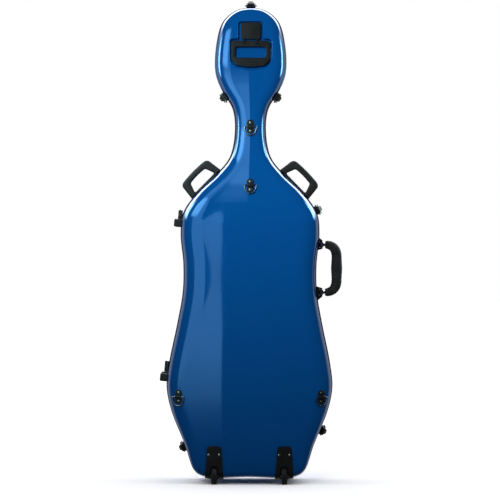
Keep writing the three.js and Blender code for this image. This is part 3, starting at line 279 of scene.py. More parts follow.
def through(points, knots, t):
    """A smooth curve through four points, where t lies between the two middle knots."""
    a, b, c, d = points
    ka, kb, kc, kd = knots
    ab = a.lerp(b, (t - ka) / (kb - ka))
    bc = b.lerp(c, (t - kb) / (kc - kb))
    cd = c.lerp(d, (t - kc) / (kd - kc))
    return ab.lerp(bc, (t - ka) / (kc - ka)).lerp(bc.lerp(cd, (t - kb) / (kd - kb)), (t - kb) / (kc - kb))


def outline_spot(spans):
    """Place, outward normal and shape of the rim, counted in spans from the middle of the bottom."""
    first = int(math.floor(spans))
    share = spans - first
    near = [stations[(first + k - 1) % len(stations)] for k in range(4)]
    places = [n[0] for n in near]
    knots = [0.0]
    for a, b in zip(places, places[1:]):
        knots.append(knots[-1] + math.sqrt((b - a).length))

    def at(part):
        return through(places, knots, knots[1] + part * (knots[2] - knots[1]))

    tiny_share = 1e-4
    tangent = at(share + tiny_share) - at(share - tiny_share)
    shape = through([n[1] for n in near], [0, 1, 2, 3], 1 + share)
    place = at(share)
    return Vector((place.x, 0, place.y)), Vector((tangent.y, 0, -tangent.x)).normalized(), shape


def rim_at(height, side):
    """The rim's place and outward normal at a height, on one side."""
    low, high = 0.0, float(span_count)
    while high - low > 1e-6:
        mid = (low + high) / 2
        if outline_spot(mid)[0].z < height:
            low = mid
        else:
            high = mid
    point, out, _ = outline_spot(low)
    return Vector((side * point.x, 0, point.z)), Vector((side * out.x, 0, out.z))


def section_of(which, inset, spans, seam_reach):
    """One rung across the right half, from the seam over wall and rounded edge to where the panel starts."""
    point, out, shape = outline_spot(spans)
    edge = shape.x
    wall_depth = shape[1 if which == "back" else 2] - edge
    bend = edge - inset
    steps = []
    for k in range(wall_steps):
        reach = seam_reach + (wall_depth - seam_reach) * k / wall_steps
        steps.append((inset + wall_draft * reach / wall_depth, reach))
    for k in range(edge_steps + 1):
        arc = math.radians(90) * k / edge_steps
        steps.append((inset + wall_draft + bend * (1 - math.cos(arc)), wall_depth + bend * math.sin(arc)))
    return [point - out * inward + Vector((0, half_sides[which] * reach, 0)) for inward, reach in steps]


def shell_grid(which, inset, seam_reach=seam_edge):
    """The whole half as a fine net: rungs from seam to seam, laid one above the other."""
    count = span_count * steps_per_span
    rights = [section_of(which, inset, i / steps_per_span, seam_reach) for i in range(count + 1)]
    strip = len(rights[0])
    across = 2 * (strip + panel_steps) - 1
    fans = [(0, bottom_spread * steps_per_span), (count, count - head_spread * steps_per_span)]
    bm = bmesh.new()
    bmesh.ops.create_grid(bm, x_segments=across - 1, y_segments=count, size=1)
    for vertex in bm.verts:
        column = round((vertex.co.x + 1) / 2 * (across - 1))
        row = round((vertex.co.y + 1) / 2 * count)
        mirror = 1 if column < across / 2 else -1
        column = min(column, across - 1 - column)
        place = rights[row][min(column, strip - 1)]
        if column >= strip:
            share = (column - strip + 1) / panel_steps
            mid_z = place.z
            for tip, full in fans:
                if (row - full) * (tip - full) > 0:
                    tip_z, full_z = rights[tip][-1].z, rights[full][-1].z
                    mid_z = tip_z + (full_z - tip_z) * (row - tip) / (full - tip)
            crown = half_sides[which] * half_crowns[which] * min(1, abs(place.x) / waist_half)
            bulge = crown * math.sin(math.radians(90) * share) ** 2
            place = Vector((place.x * (1 - share), place.y + bulge, place.z + (mid_z - place.z) * share))
        vertex.co = Vector((place.x * mirror, place.y, place.z)) + middle
    bmesh.ops.remove_doubles(bm, verts=bm.verts, dist=weld)
    bmesh.ops.recalc_face_normals(bm, faces=bm.faces)
    return bm


def noise(tree, scale, detail=2):
    place = add_node(tree, "TexCoord", {}).outputs["Object"]
    return add_node(tree, "TexNoise", {"Vector": place, "Scale": scale, "Detail": detail}).outputs["Fac"]


def toned(tree, value, level_shares, colours):
    """Two colours that change into each other while a value goes from the first level to the second."""
    ramp = add_node(tree, "ValToRGB", {"Fac": value})
    for stop, level, colour in zip(ramp.color_ramp.elements, level_shares, colours):
        stop.position = level
        stop.color = colour
    return ramp.outputs["Color"]


def bumped(tree, height, strength, distance):
    values = {"Height": height, "Strength": strength, "Distance": distance}
    return add_node(tree, "Bump", values).outputs["Normal"]


def paint():
    """Metallic lacquer under a clear coat: fine flakes in the colour, and a moulded shell's faint waves."""
    made, tree, shader = new_material("metallic_blue_paint")
    flakes = toned(tree, noise(tree, 900), (0.35, 0.7), ((0.0004, 0.072, 0.29, 1), (0.001, 0.096, 0.36, 1)))
    fill_inputs(tree, shader, {
        "Base Color": flakes, "Metallic": 0.15, "Roughness": 0.06, "Specular IOR Level": 0.5,
        "Specular Tint": (0.1, 0.5, 1, 1), "Coat Weight": 0.8, "Coat Roughness": 0.03,
        "Normal": bumped(tree, noise(tree, 14, 3), wave_strength, wave_depth),
    })
    return made


def applied(piece):
    """Makes a piece's modifiers part of its mesh."""
    bpy.context.view_layer.update()
    seen = piece.evaluated_get(bpy.context.evaluated_depsgraph_get())
    mesh = bpy.data.meshes.new_from_object(seen)
    piece.modifiers.clear()
    piece.data = mesh
    return piece


def walled(piece, thickness):
    wall = piece.modifiers.new("wall", "SOLIDIFY")
    wall.thickness = thickness
    wall.offset = -1
    return applied(piece)


def fitted(name, bm, material, body, slot, *nodes, angle=35):
    """A finished piece that rides on a body and stands for CAD nodes. Its slot argument is not used."""
    piece = finished(name, bm, material, angle)
    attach(piece, body)
    if nodes:
        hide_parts(*nodes)
    return piece


shell_paint = paint()
moulding = {}
for which in ("back", "lid"):
    name = f"{which}_shell"
    net = shell_grid(which, 0)
    piece = fitted(f"{name}_moulding", net, shell_paint, which, "shell_paint", name, angle=shell_angle)
    moulding[which] = walled(piece, shell_wall)

# Head handle: the back is moulded inwards as a cup, a plastic block is screwed to the cup's floor, and a
# handle folds out on a steel pin through the block's two lugs. Heights are counted from the pin.
recess_depth, recess_fillet, recess_corner, recess_step_corner = 0.023, 0.006, 0.011, 0.003
recess_top, recess_shoulder, recess_bottom = 0.059, 0.010, -0.079
recess_high_half, recess_low_half = 0.036, 0.060
recess_half_shares, recess_radii = (0.2, 0.72), (0.08, 0.03, 0.022)
recess_knee_rise, recess_flank_rise, recess_flank_in = 0.005, 0.026, 0.001
lip_radius, lip_out = 0.0009, 0.0006
cup_reach = 0.12
past_seam, ray_start = 0.006, -1.0
seat_clearance, fine, overrun = 0.0003, 0.0001, 0.03
rounding_angle = 40
sideways = Matrix.Rotation(math.radians(90), 4, "Y")
standing = Matrix.Rotation(math.radians(90), 4, "X")
shift = Matrix.Translation


def joint(name):
    return next(row for row in frame["joints"] if row["name"] == name)


def moved(bm, matrix):
    bmesh.ops.transform(bm, matrix=matrix, verts=bm.verts)
    if matrix.determinant() < 0:
        bmesh.ops.reverse_faces(bm, faces=bm.faces)
    return bm


def meshed(drawing):
    """The closed mesh of a curve, as a bmesh."""
    carrier = bpy.data.objects.new("drawing", drawing)
    scene.collection.objects.link(carrier)
    bpy.context.view_layer.update()
    mesh = bpy.data.meshes.new_from_object(carrier.evaluated_get(bpy.context.evaluated_depsgraph_get()))
    bm = bmesh.new()
    bm.from_mesh(mesh)
    bpy.data.objects.remove(carrier)
    bmesh.ops.remove_doubles(bm, verts=bm.verts, dist=fine / 10)
    bmesh.ops.recalc_face_normals(bm, faces=bm.faces)
    return bm


def rounded(corners, steps=6):
    """A closed loop through (x, y, radius) corners, with each corner turned into an arc."""
    loop = []
    for i, (x, y, radius) in enumerate(corners):
        here = Vector((x, y))
        before = (Vector(corners[i - 1][:2]) - here).normalized()
        after = (Vector(corners[(i + 1) % len(corners)][:2]) - here).normalized()
        half = before.angle(after) / 2
        centre = here + (before + after).normalized() * radius / math.sin(half)
        start = here + before * radius / math.tan(half) - centre
        turned_by = start.angle_signed(here + after * radius / math.tan(half) - centre)
        for k in range(steps + 1):
            loop.append(centre + Matrix.Rotation(-turned_by * k / steps, 2) @ start)
    return loop


def both_sides(right, between=()):
    """A rounded loop from the corners of its right half, given from the bottom up."""
    return rounded([*right, *between, *[(-x, y, radius) for x, y, radius in reversed(right)]])


def rounded_box(half, low, high, low_radius, high_radius=None, steps=6):
    high_radius = high_radius or low_radius
    foot = [(-half, low, low_radius), (half, low, low_radius)]
    return rounded(foot + [(half, high, high_radius), (-half, high, high_radius)], steps)


def prism(loops, low, high, bevel=0.0, steps=3):
    """A plate drawn by closed loops in x and y, between two heights in z, with rounded edges."""
    drawing = bpy.data.curves.new("drawing", "CURVE")
    drawing.dimensions = "2D"
    drawing.fill_mode = "BOTH"
    drawing.extrude = (high - low) / 2 - bevel
    drawing.bevel_depth = bevel
    drawing.bevel_resolution = steps
    drawing.offset = -bevel
    for loop in loops:
        spline = drawing.splines.new("POLY")
        spline.points.add(len(loop) - 1)
        for point, (x, y) in zip(spline.points, loop):
            point.co = (x, y, 0, 1)
        spline.use_cyclic_u = True
    return moved(meshed(drawing), shift((0, 0, (low + high) / 2)))


def bar(points, radius, closed=False, radii=None, steps=4):
    """A round bar along points, closed in a ring or with its ends capped."""
    drawing = bpy.data.curves.new("drawing", "CURVE")
    drawing.dimensions = "3D"
    drawing.bevel_depth = radius
    drawing.bevel_resolution = steps
    drawing.use_fill_caps = True
    spline = drawing.splines.new("POLY")
    spline.points.add(len(points) - 1)
    for i, (point, place) in enumerate(zip(spline.points, points)):
        point.co = (*place, 1)
        point.radius = radii[i] if radii else 1
    spline.use_cyclic_u = closed
    return meshed(drawing)


def turned(profile, steps=48):
    """A ring or disc about z, from a closed or axis-to-axis profile of (radius, height)."""
    bm = bmesh.new()
    rail = [bm.verts.new((radius, 0, height)) for radius, height in profile]
    edges = [bm.edges.new(pair) for pair in zip(rail, rail[1:])]
    if profile[0][0] > 0:
        edges.append(bm.edges.new((rail[-1], rail[0])))
    full = math.radians(360)
    bmesh.ops.spin(bm, geom=rail + edges, axis=(0, 0, 1), angle=full, steps=steps, use_merge=True)
    bmesh.ops.remove_doubles(bm, verts=bm.verts, dist=fine / 10)
    bmesh.ops.recalc_face_normals(bm, faces=bm.faces)
    return bm


def disc(radius, low, high, edge=4 * fine, steps=32):
    rise = [(0, low), (radius - edge, low), (radius, low + edge)]
    return turned(rise + [(radius, high - edge), (radius - edge, high), (0, high)], steps)


def block(low, high, edge=0.0, steps=2):
    low, high = Vector(low), Vector(high)
    bm = bmesh.new()
    bmesh.ops.create_cube(bm, size=1)
    moved(bm, shift((low + high) / 2) @ Matrix.Diagonal((*(high - low), 1)))
    if edge:
        bmesh.ops.bevel(bm, geom=bm.edges[:], offset=edge, segments=steps, profile=0.5, affect="EDGES",
                        material=-1)
    return bm


def together(*solids):
    """Several closed solids as one bmesh."""
    whole = bmesh.new()
    for solid in solids:
        mesh = bpy.data.meshes.new("carrier")
        solid.to_mesh(mesh)
        solid.free()
        whole.from_mesh(mesh)
        bpy.data.meshes.remove(mesh)
    return whole


def shaped(piece, *steps):
    """Joins, cuts or crops a piece with closed solids, one (operation, solid) after the other."""
    for operation, solid in steps:
        mesh = bpy.data.meshes.new("tool")
        solid.to_mesh(mesh)
        solid.free()
        tool = bpy.data.objects.new("tool", mesh)
        scene.collection.objects.link(tool)
        change = piece.modifiers.new("change", "BOOLEAN")
        change.operation = operation
        change.solver = "MANIFOLD"
        change.object = tool
        applied(piece)
        bpy.data.objects.remove(tool)
    piece.data.set_sharp_from_angle(angle=math.radians(rounding_angle))
    return piece


def carved(solid, *steps):
    """A closed solid after joins, cuts and crops, as a bmesh again."""
    work = shaped(finished("work", solid, shell_paint), *steps)
    bm = bmesh.new()
    bm.from_mesh(work.data)
    bpy.data.objects.remove(work)
    return bm


def framed(x, y, z, origin):
    made = Matrix((x, y, z)).transposed().to_4x4()
    made.translation = origin
    return made


def aligned(origin, across, up):
    """The frame with its x along across, its y as near to up as can be and its z out of the surface."""
    x = Vector(across).normalized()
    z = x.cross(Vector(up)).normalized()
    return framed(x, z.cross(x), z, origin)


head_pin = Vector(joint("head_handle_fold")["pos_m"])
skin = BVHTree.FromObject(moulding["back"], bpy.context.evaluated_depsgraph_get())


def on_skin(x, z):
    """The place and normal of the back's painted skin, before anything is cut into it."""
    return skin.ray_cast(Vector((x, ray_start, z)), Vector((0, 1, 0)))[:2]


# The cup's frame: x to the right, y up, z out of the panel towards the viewer
head_panel = on_skin(middle.x, head_pin.z)[0]
head_frame = aligned(head_panel, (1, 0, 0), (0, 0, 1))


def recess_loop(grow):
    wide, slim = recess_low_half + grow, recess_high_half + grow
    low, mid, high = recess_bottom - grow, recess_shoulder + grow, recess_top + grow
    foot_share, knee_share = recess_half_shares
    foot, knee, flank = recess_radii
    right = [(foot_share * wide, low, foot), (knee_share * wide, low + recess_knee_rise, knee)]
    right += [(wide - recess_flank_in, low + recess_flank_rise, flank), (wide, mid, recess_corner)]
    return both_sides(right + [(slim, mid, recess_step_corner), (slim, high, recess_corner)])


def recess_solid(grow):
    return moved(prism([recess_loop(grow)], -recess_depth - grow, overrun, recess_fillet + grow), head_frame)


def half_form(which, inset, low, high):
    """A closed solid of a half between two heights, filled in from just past the seam to the panel."""
    bm = shell_grid(which, inset, -past_seam)
    bmesh.ops.holes_fill(bm, edges=[edge for edge in bm.edges if edge.is_boundary])
    for height, away in ((low, -1), (high, 1)):
        geometry = bm.verts[:] + bm.edges[:] + bm.faces[:]
        cut = {"plane_co": (0, 0, height), "plane_no": (0, 0, away), "clear_outer": True}
        bmesh.ops.bisect_plane(bm, geom=geometry, **cut)
        bmesh.ops.holes_fill(bm, edges=[edge for edge in bm.edges if edge.is_boundary])
    bmesh.ops.recalc_face_normals(bm, faces=bm.faces)
    return bm


def crease_flat(piece, depth):
    """Keeps a flat floor at a given depth from being shaded into the fillets round it."""
    bm = bmesh.new()
    bm.from_mesh(piece.data)
    for edge in bm.edges:
        on_floor = [abs(face.calc_center_median().y - depth) < fine / 10 for face in edge.link_faces]
        if any(on_floor) and not all(on_floor):
            edge.smooth = False
    bm.to_mesh(piece.data)
    bm.free()


head_half = half_form("back", 0.0, head_pin.z - cup_reach, shell_height + cup_reach)
cup = carved(recess_solid(shell_wall), ("INTERSECT", head_half))
shaped(moulding["back"], ("UNION", cup), ("DIFFERENCE", recess_solid(0.0)))
crease_flat(moulding["back"], head_panel.y + recess_depth)
lip = [on_skin(head_panel.x + x, head_panel.z + y)[0] for x, y in recess_loop(lip_out)]
fitted("recess_lip", bar(lip, lip_radius, True, steps=5), shell_paint, "back", "shell_paint")

mount_half, mount_low, mount_high, mount_corner, mount_edge = 0.0275, 0.009, 0.055, 0.004, 0.0012
mount_face = -0.001
groove_height, groove, sweep_radius = 0.039, 0.0012, 0.0085
lug_inner, lug_outer, lug_radius, lug_edge, lug_web, lug_gap = 0.015, 0.022, 0.0056, 0.0006, 0.016, 0.0004
boss_radius, boss_proud, boss_edge = 0.0034, 0.0004, 0.0008
head_pin_radius, head_pin_half, pin_edge = 0.002, 0.040, 0.0003
# Corners of the right half of the handle, from its bottom: half width, height from the pin and radius
handle_corners = [
    (0.010, -0.070, 0.03), (0.042, -0.065, 0.015), (0.055, -0.049, 0.012), (0.055, 0.004, 0.010),
]
handle_front, handle_thick, handle_edge = -0.0015, 0.014, 0.0028
hand_half, hand_low, hand_high, hand_corner = 0.043, -0.044, -0.013, 0.006
rib_heights, rib_half, rib_bow, rib_radius = (-0.064, -0.0575), 0.038, 0.004, 0.0009
leather_strength, leather_depth, scratch_depth = 0.25, 0.0003, 0.0001
pin_depth = head_panel.y - head_pin.y
at_pin = head_frame @ shift((0, 0, pin_depth))


def ranged(tree, value, low, high):
    return add_node(tree, "MapRange", {"Value": value, "To Min": low, "To Max": high}).outputs["Result"]


def moulded_plastic(name, tone, roughness, grain):
    """Black moulded plastic with a fine leathery grain and a slight sheen on worn places."""
    made, tree, shader = new_material(name)
    place = add_node(tree, "TexCoord", {}).outputs["Object"]
    pebbles = add_node(tree, "TexVoronoi", {"Vector": place, "Scale": grain}).outputs["Distance"]
    cloud = noise(tree, 60, 4)
    pale = (tone * 1.8, tone * 1.8, tone * 1.85, 1)
    fill_inputs(tree, shader, {
        "Base Color": blended(tree, cloud, (tone, tone, tone, 1), pale), "Specular IOR Level": 0.3,
        "Roughness": ranged(tree, cloud, roughness - 0.08, roughness + 0.1),
        "Normal": bumped(tree, pebbles, leather_strength, leather_depth),
    })
    return made


def brushed_steel(name, tone, roughness, marks):
    """Bare metal with fine scratches and faint smudges."""
    made, tree, shader = new_material(name)
    smudge = noise(tree, 90, 5)
    dim = (tone * 0.8, tone * 0.8, tone * 0.78, 1)
    fill_inputs(tree, shader, {
        "Base Color": blended(tree, smudge, (tone, tone, tone, 1), dim), "Metallic": 1.0,
        "Roughness": ranged(tree, smudge, roughness, roughness + 0.18),
        "Normal": bumped(tree, noise(tree, 1500), marks, scratch_depth),
    })
    return made


black_plastic = moulded_plastic("black_plastic", 0.008, 0.42, 2200)
chrome = brushed_steel("polished_chrome", 0.75, 0.06, 0.03)
steel = brushed_steel("brushed_steel", 0.55, 0.25, 0.12)


def black_piece(name, bm, body, *nodes, angle=35):
    return fitted(name, bm, black_plastic, body, "black_plastic", *nodes, angle=angle)


def steel_piece(name, bm, body, *nodes):
    return fitted(name, bm, steel, body, "steel_strap", *nodes)


mount_loop = rounded_box(mount_half, mount_low, mount_high, mount_corner)
mount = moved(prism([mount_loop], seat_clearance - recess_depth, mount_face, mount_edge), head_frame)
groove_low = (-overrun, groove_height - groove / 2, mount_face - groove)
groove_tool = moved(block(groove_low, (overrun, groove_height + groove / 2, overrun)), head_frame)
sweep_tool = moved(disc(sweep_radius, -overrun, overrun), at_pin @ sideways)
head_block = black_piece("head_handle_block", mount, "back", "head_handle_mount")
shaped(head_block, ("DIFFERENCE", groove_tool), ("DIFFERENCE", sweep_tool))
lugs = []
for side in (-1, 1):
    near, far = sorted((side * lug_inner, side * lug_outer))
    web_low = (near, 0, -recess_depth - pin_depth + seat_clearance)
    boss = disc(boss_radius, near - boss_proud, far + boss_proud, boss_edge)
    lugs.append(moved(disc(lug_radius, near, far, lug_edge), at_pin @ sideways))
    lugs.append(moved(block(web_low, (far, lug_web, 0), lug_edge), at_pin))
    lugs.append(moved(boss, at_pin @ sideways))
black_piece("head_handle_lugs", together(*lugs), "back")

handle_loops = [both_sides(handle_corners), rounded_box(hand_half, hand_low, hand_high, hand_corner)]
handle = moved(prism(handle_loops, handle_front - handle_thick, handle_front, handle_edge, 4), head_frame)
folding_handle = black_piece("head_folding_handle", handle, "head_handle", "head_handle")
for side in (-1, 1):
    near, far = sorted((side * (lug_inner - lug_edge), side * (lug_outer + lug_edge)))
    gap = block((near, -lug_radius - lug_gap, -overrun), (far, overrun, overrun))
    shaped(folding_handle, ("DIFFERENCE", moved(gap, at_pin)))
ribs = []
for height in rib_heights:
    curve = [(rib_half * k / 10, height + rib_bow * (k / 10) ** 2, handle_front) for k in range(-10, 11)]
    ribs.append(moved(bar(curve, rib_radius, steps=2), head_frame))
black_piece("head_handle_ribs", together(*ribs), "head_handle")
head_axle = disc(head_pin_radius, -head_pin_half, head_pin_half, pin_edge, 16)
steel_piece("head_handle_pin", moved(head_axle, at_pin @ sideways), "back")

# Wheels: two rubber-tyred castor wheels at the lower back corners, each on a steel axle in a moulded
# plastic housing that is let into the shell and held by two screws.
wheel_radius, wheel_half = 0.0255, 0.0085
rim_radius, hub_radius, axle_radius, axle_edge = 0.0165, 0.0062, 0.003, 0.0004
tread_gap, tread_depth, tyre_lip = 0.0030, 0.0007, 0.001
# The tyre's shoulder: how far each corner lies inside the tread and inside the face
tyre_shoulder = [(0.004, 0), (0.0015, 0.001), (0, 0.003)]
hub_inset, hub_edge, hub_web, hub_bore_gap = 0.0008, 0.0006, 0.002, 0.0004
rim_wall, rim_slope = 0.002, 0.0002
spoke_count, spoke_half, spoke_sink, spoke_inset, spoke_edge = 5, 0.0012, 0.001, 0.0015, 0.0005
housing_low, housing_high, housing_corner, housing_foot_corner = 0.012, 0.109, 0.009, 0.002
housing_low_half, housing_high_half, housing_proud, housing_wall = 0.0265, 0.0195, 0.004, 0.001
housing_top, front_reach = 0.16, 0.17
ridge_low, ridge_high, ridge_proud, ridge_in = 0.0935, 0.0948, 0.0006, 0.0015
slot_half, slot_top, slot_corner, slot_round_share = 0.011, 0.052, 0.001, 0.98
bucket_wall, bucket_reach, bucket_edge, wheel_clearance = 0.0035, 0.06, 0.002, 0.0035
screw_height, screw_spread, screw_radius, screw_rise = 0.084, 0.0150, 0.0040, 0.0016
axle_end = 0.002
rubber_strength, rubber_depth = 0.3, 0.0003
wheel_spots = {side: Vector(joint(f"wheel_{side}_roll")["pos_m"]) for side in ("left", "right")}
wheel_at = wheel_spots["right"]
mirror_x = shift((2 * middle.x, 0, 0)) @ Matrix.Diagonal((-1, 1, 1, 1))


def soft_rubber(name, tone, dust, grain):
    """Dull black rubber, a little dusty, with a fine moulded grain."""
    made, tree, shader = new_material(name)
    colours = ((tone, tone, tone, 1), (dust, dust, dust * 0.96, 1))
    fill_inputs(tree, shader, {
        "Base Color": toned(tree, noise(tree, 45, 6), (0.4, 0.8), colours), "Roughness": 0.78,
        "Normal": bumped(tree, noise(tree, grain), rubber_strength, rubber_depth),
    })
    return made


def both_faces(profile):
    """A profile of (radius, height) and its mirror image below z = 0."""
    return profile + [(radius, -height) for radius, height in reversed(profile)]


def tyre_solid():
    upper = [(rim_radius, wheel_half - tyre_lip), (rim_radius + tyre_lip, wheel_half)]
    upper += [(wheel_radius - inside, wheel_half - fall) for inside, fall in tyre_shoulder]
    upper += [(wheel_radius, tread_gap + tread_depth), (wheel_radius - tread_depth, tread_gap)]
    return turned(both_faces(upper + [(wheel_radius, tread_gap - tread_depth)]), 64)


def hub_solid():
    half = wheel_half - hub_inset
    upper = [(axle_radius + hub_bore_gap, half), (hub_radius, half), (hub_radius + hub_edge, half - hub_edge)]
    upper += [(hub_radius + hub_edge, hub_web), (rim_radius - rim_wall - rim_slope, hub_web)]
    upper += [(rim_radius - rim_wall, half), (rim_radius + rim_slope, half)]
    solids = [turned(both_faces(upper), 64)]
    for k in range(spoke_count):
        low = (hub_radius - spoke_sink, -spoke_half, spoke_inset - half)
        spoke = block(low, (rim_radius - spoke_sink, spoke_half, half - spoke_inset), spoke_edge)
        solids.append(moved(spoke, Matrix.Rotation(math.radians(360) * k / spoke_count, 4, "Z")))
    return together(*solids)


tyre_rubber = soft_rubber("tyre_rubber", 0.012, 0.035, 1400)
black_rubber = soft_rubber("black_rubber", 0.010, 0.022, 2000)
for name, spot in wheel_spots.items():
    body = f"wheel_{name}"
    tyre = moved(tyre_solid(), shift(spot) @ sideways)
    fitted(f"tyre_{name}", tyre, tyre_rubber, body, "tyre_rubber", body)
    black_piece(f"wheel_hub_{name}", moved(hub_solid(), shift(spot) @ sideways), body)

# A pan head's profile, and its cross slot: half length, half width, floor and top
pan_shares = [(0, -1), (1, -1), (1, 0.25), (0.8, 0.7), (0.45, 0.96), (0, 1)]
cross_shares = (0.55, 0.1, 0.45, 2)
cross_turn = 20


def pan_screw(radius, height):
    """A pan-head screw with a cross slot, its head standing on z = 0."""
    head = turned([(radius * x, height * z) for x, z in pan_shares], 32)
    long, slim, floor_share, top_share = cross_shares
    slots = []
    for angle in (cross_turn, cross_turn + 90):
        low = (-radius * long, -radius * slim, height * floor_share)
        slot = block(low, (radius * long, radius * slim, height * top_share))
        slots.append(("DIFFERENCE", moved(slot, Matrix.Rotation(math.radians(angle), 4, "Z"))))
    return carved(head, *slots)


def on_panel(solid):
    """A solid drawn in x and height, put at the right wheel and facing backwards."""
    return moved(solid, shift((wheel_at.x, 0, 0)) @ standing)


def housing_flange(grow):
    low_half, high_half, high = housing_low_half + grow, housing_high_half + grow, housing_high + grow
    foot = [(-low_half, housing_low, housing_foot_corner), (low_half, housing_low, housing_foot_corner)]
    return rounded(foot + [(high_half, high, housing_corner), (-high_half, high, housing_corner)], 8)


def bucket(grow):
    """The tub round the right wheel, from outside the skin to past the wheel."""
    half = slot_half + bucket_wall + grow
    past = wheel_radius + wheel_clearance + bucket_wall + grow
    low = (wheel_at.x - half, wheel_at.y - bucket_reach, housing_low - grow)
    high = (wheel_at.x + half, wheel_at.y + past, wheel_radius + past)
    return block(low, high, 0.0 if grow else bucket_edge)


def low_back(proud):
    """The foot of the back half, grown outwards."""
    return half_form("back", -proud, 0, housing_top)


def housing_solid():
    flange_back = half_depths["back"] - edge_radius - housing_proud
    flange = on_panel(prism([housing_flange(0)], flange_back, front_reach))
    inner_proud = housing_proud - housing_wall
    ridge_loop = [(-overrun, ridge_low), (overrun, ridge_low), (overrun, ridge_high), (-overrun, ridge_high)]
    ridge_crop = on_panel(prism([housing_flange(-ridge_in)], 0, front_reach))
    ridge = carved(on_panel(prism([ridge_loop], 0, front_reach)),
                   ("INTERSECT", low_back(housing_proud + ridge_proud)),
                   ("DIFFERENCE", low_back(inner_proud)), ("INTERSECT", ridge_crop))
    tub = carved(bucket(0), ("INTERSECT", low_back(inner_proud)))
    slot_round = slot_half * slot_round_share
    slot_loop = rounded_box(slot_half, -overrun, slot_top, slot_corner, slot_round, 10)
    slot = on_panel(prism([slot_loop], -wheel_at.y, front_reach + overrun))
    room = disc(wheel_radius + wheel_clearance, -slot_half, slot_half)
    under = block(wheel_at - Vector((slot_half, wheel_radius, overrun)),
                  wheel_at + Vector((slot_half, wheel_radius + wheel_clearance, 0)))
    return carved(flange, ("DIFFERENCE", low_back(seat_clearance)), ("INTERSECT", low_back(housing_proud)),
                  ("UNION", ridge), ("UNION", tub), ("DIFFERENCE", slot),
                  ("DIFFERENCE", moved(room, shift(wheel_at) @ sideways)), ("DIFFERENCE", under))


right_housing = housing_solid()
housings = {"left": moved(right_housing.copy(), mirror_x), "right": right_housing}
housing_screw = pan_screw(screw_radius, screw_rise)
for name, spot in wheel_spots.items():
    black_piece(f"wheel_housing_{name}_moulding", housings[name], "back", f"wheel_housing_{name}", angle=40)
for name, spot in wheel_spots.items():
    screws = []
    for offset in (-screw_spread, screw_spread):
        place, normal = on_skin(spot.x + offset, screw_height)
        seat = aligned(place + normal * housing_proud, (1, 0, 0), (0, 0, 1))
        screws.append(moved(housing_screw.copy(), seat))
    steel_piece(f"housing_screws_{name}", together(*screws), "back")
    axle = disc(axle_radius, -slot_half - axle_end, slot_half + axle_end, axle_edge)
    steel_piece(f"wheel_axle_{name}", moved(axle, shift(spot) @ sideways), "back")
    tub_cut = bucket(seat_clearance)
    shaped(moulding["back"], ("DIFFERENCE", tub_cut if name == "right" else moved(tub_cut, mirror_x)))

# Strap rings: four moulded plates with two lobes, each held by two screws through the shell, with a
# dark chromed ring that swings under the plate's raised bridge.
lobe_radius, lobe_spread, lobe_thick, lobe_edge = 0.0105, 0.0095, 0.003, 0.001
lobe_start, lobe_arc, arc_steps = -52, 284, 24
bridge_half, bridge_wide, bridge_top = 0.009, 0.0048, 0.0094
bridge_sink, bridge_corner, bridge_round, bridge_edge = 0.001, 0.001, 0.004, 0.001
ring_half, ring_drop, ring_wire, ring_lift, ring_gap = 0.0165, 0.025, 0.0019, 0.0058, 0.0004
ring_bar_half, ring_bar_shares = 0.01176, (-1, -0.5, 0, 0.5, 1)
plate_sink = 0.0012
ring_screw_radius, ring_screw_rise, ring_screw_share = 0.0036, 0.0014, 1.25


def panel_frame(name):
    """The frame of a fitting on the panel: its x lies along its joint's pin, its z out of the skin."""
    row = joint(name)
    pin, across = Vector(row["pos_m"]), -Vector(row["axis"])
    normal = on_skin(pin.x, pin.z)[1]
    out = (normal - across * normal.dot(across)).normalized()
    return framed(across, out.cross(across), out, pin - out * ring_lift)


def lobes():
    loop = []
    for side, start in ((1, lobe_start), (-1, lobe_start + 180)):
        for k in range(arc_steps + 1):
            angle = math.radians(start + lobe_arc * k / arc_steps)
            across, up = lobe_radius * math.cos(angle), lobe_radius * math.sin(angle)
            loop.append(Vector((across, side * lobe_spread + up)))
    return loop


def ring_points():
    straight = [(ring_bar_half * share, 0, 0) for share in ring_bar_shares]
    points = []
    for k in range(arc_steps + 1):
        angle = math.radians(180 * k / arc_steps)
        points.append((ring_half * math.cos(angle), -ring_drop * math.sin(angle) ** 0.8, 0))
    return straight + points


def bridge_solid():
    loop = rounded_box(bridge_wide, -bridge_sink, bridge_top, bridge_corner, bridge_round)
    upright = Matrix.Rotation(math.radians(90), 4, "Z") @ standing
    return moved(prism([loop], -bridge_half, bridge_half, bridge_edge), upright)


ring_screw = pan_screw(ring_screw_radius, ring_screw_rise)
chrome_ring = brushed_steel("dark_chrome", 0.32, 0.1, 0.03)
for place in ("neck", "upper", "lower_left", "lower_right"):
    body = f"strap_ring_{place}"
    seat = panel_frame(f"{body}_swing")
    pin_seat = seat @ shift((0, 0, ring_lift))
    plate = together(prism([lobes()], -plate_sink, lobe_thick, lobe_edge), bridge_solid())
    plate_piece = black_piece(f"ring_base_{place}", moved(plate, seat), "back", f"ring_plate_{place}")
    bore = disc(ring_wire + ring_gap, -overrun, overrun)
    shaped(plate_piece, ("DIFFERENCE", moved(bore, pin_seat @ sideways)))
    loop = moved(bar(ring_points(), ring_wire, True, steps=6), pin_seat)
    fitted(f"strap_ring_loop_{place}", loop, chrome_ring, body, "chrome", body)
    screws = []
    for side in (-1, 1):
        spot = shift((0, side * lobe_spread * ring_screw_share, lobe_thick))
        screws.append(moved(ring_screw.copy(), seat @ spot))
    steel_piece(f"ring_screws_{place}", together(*screws), "back")

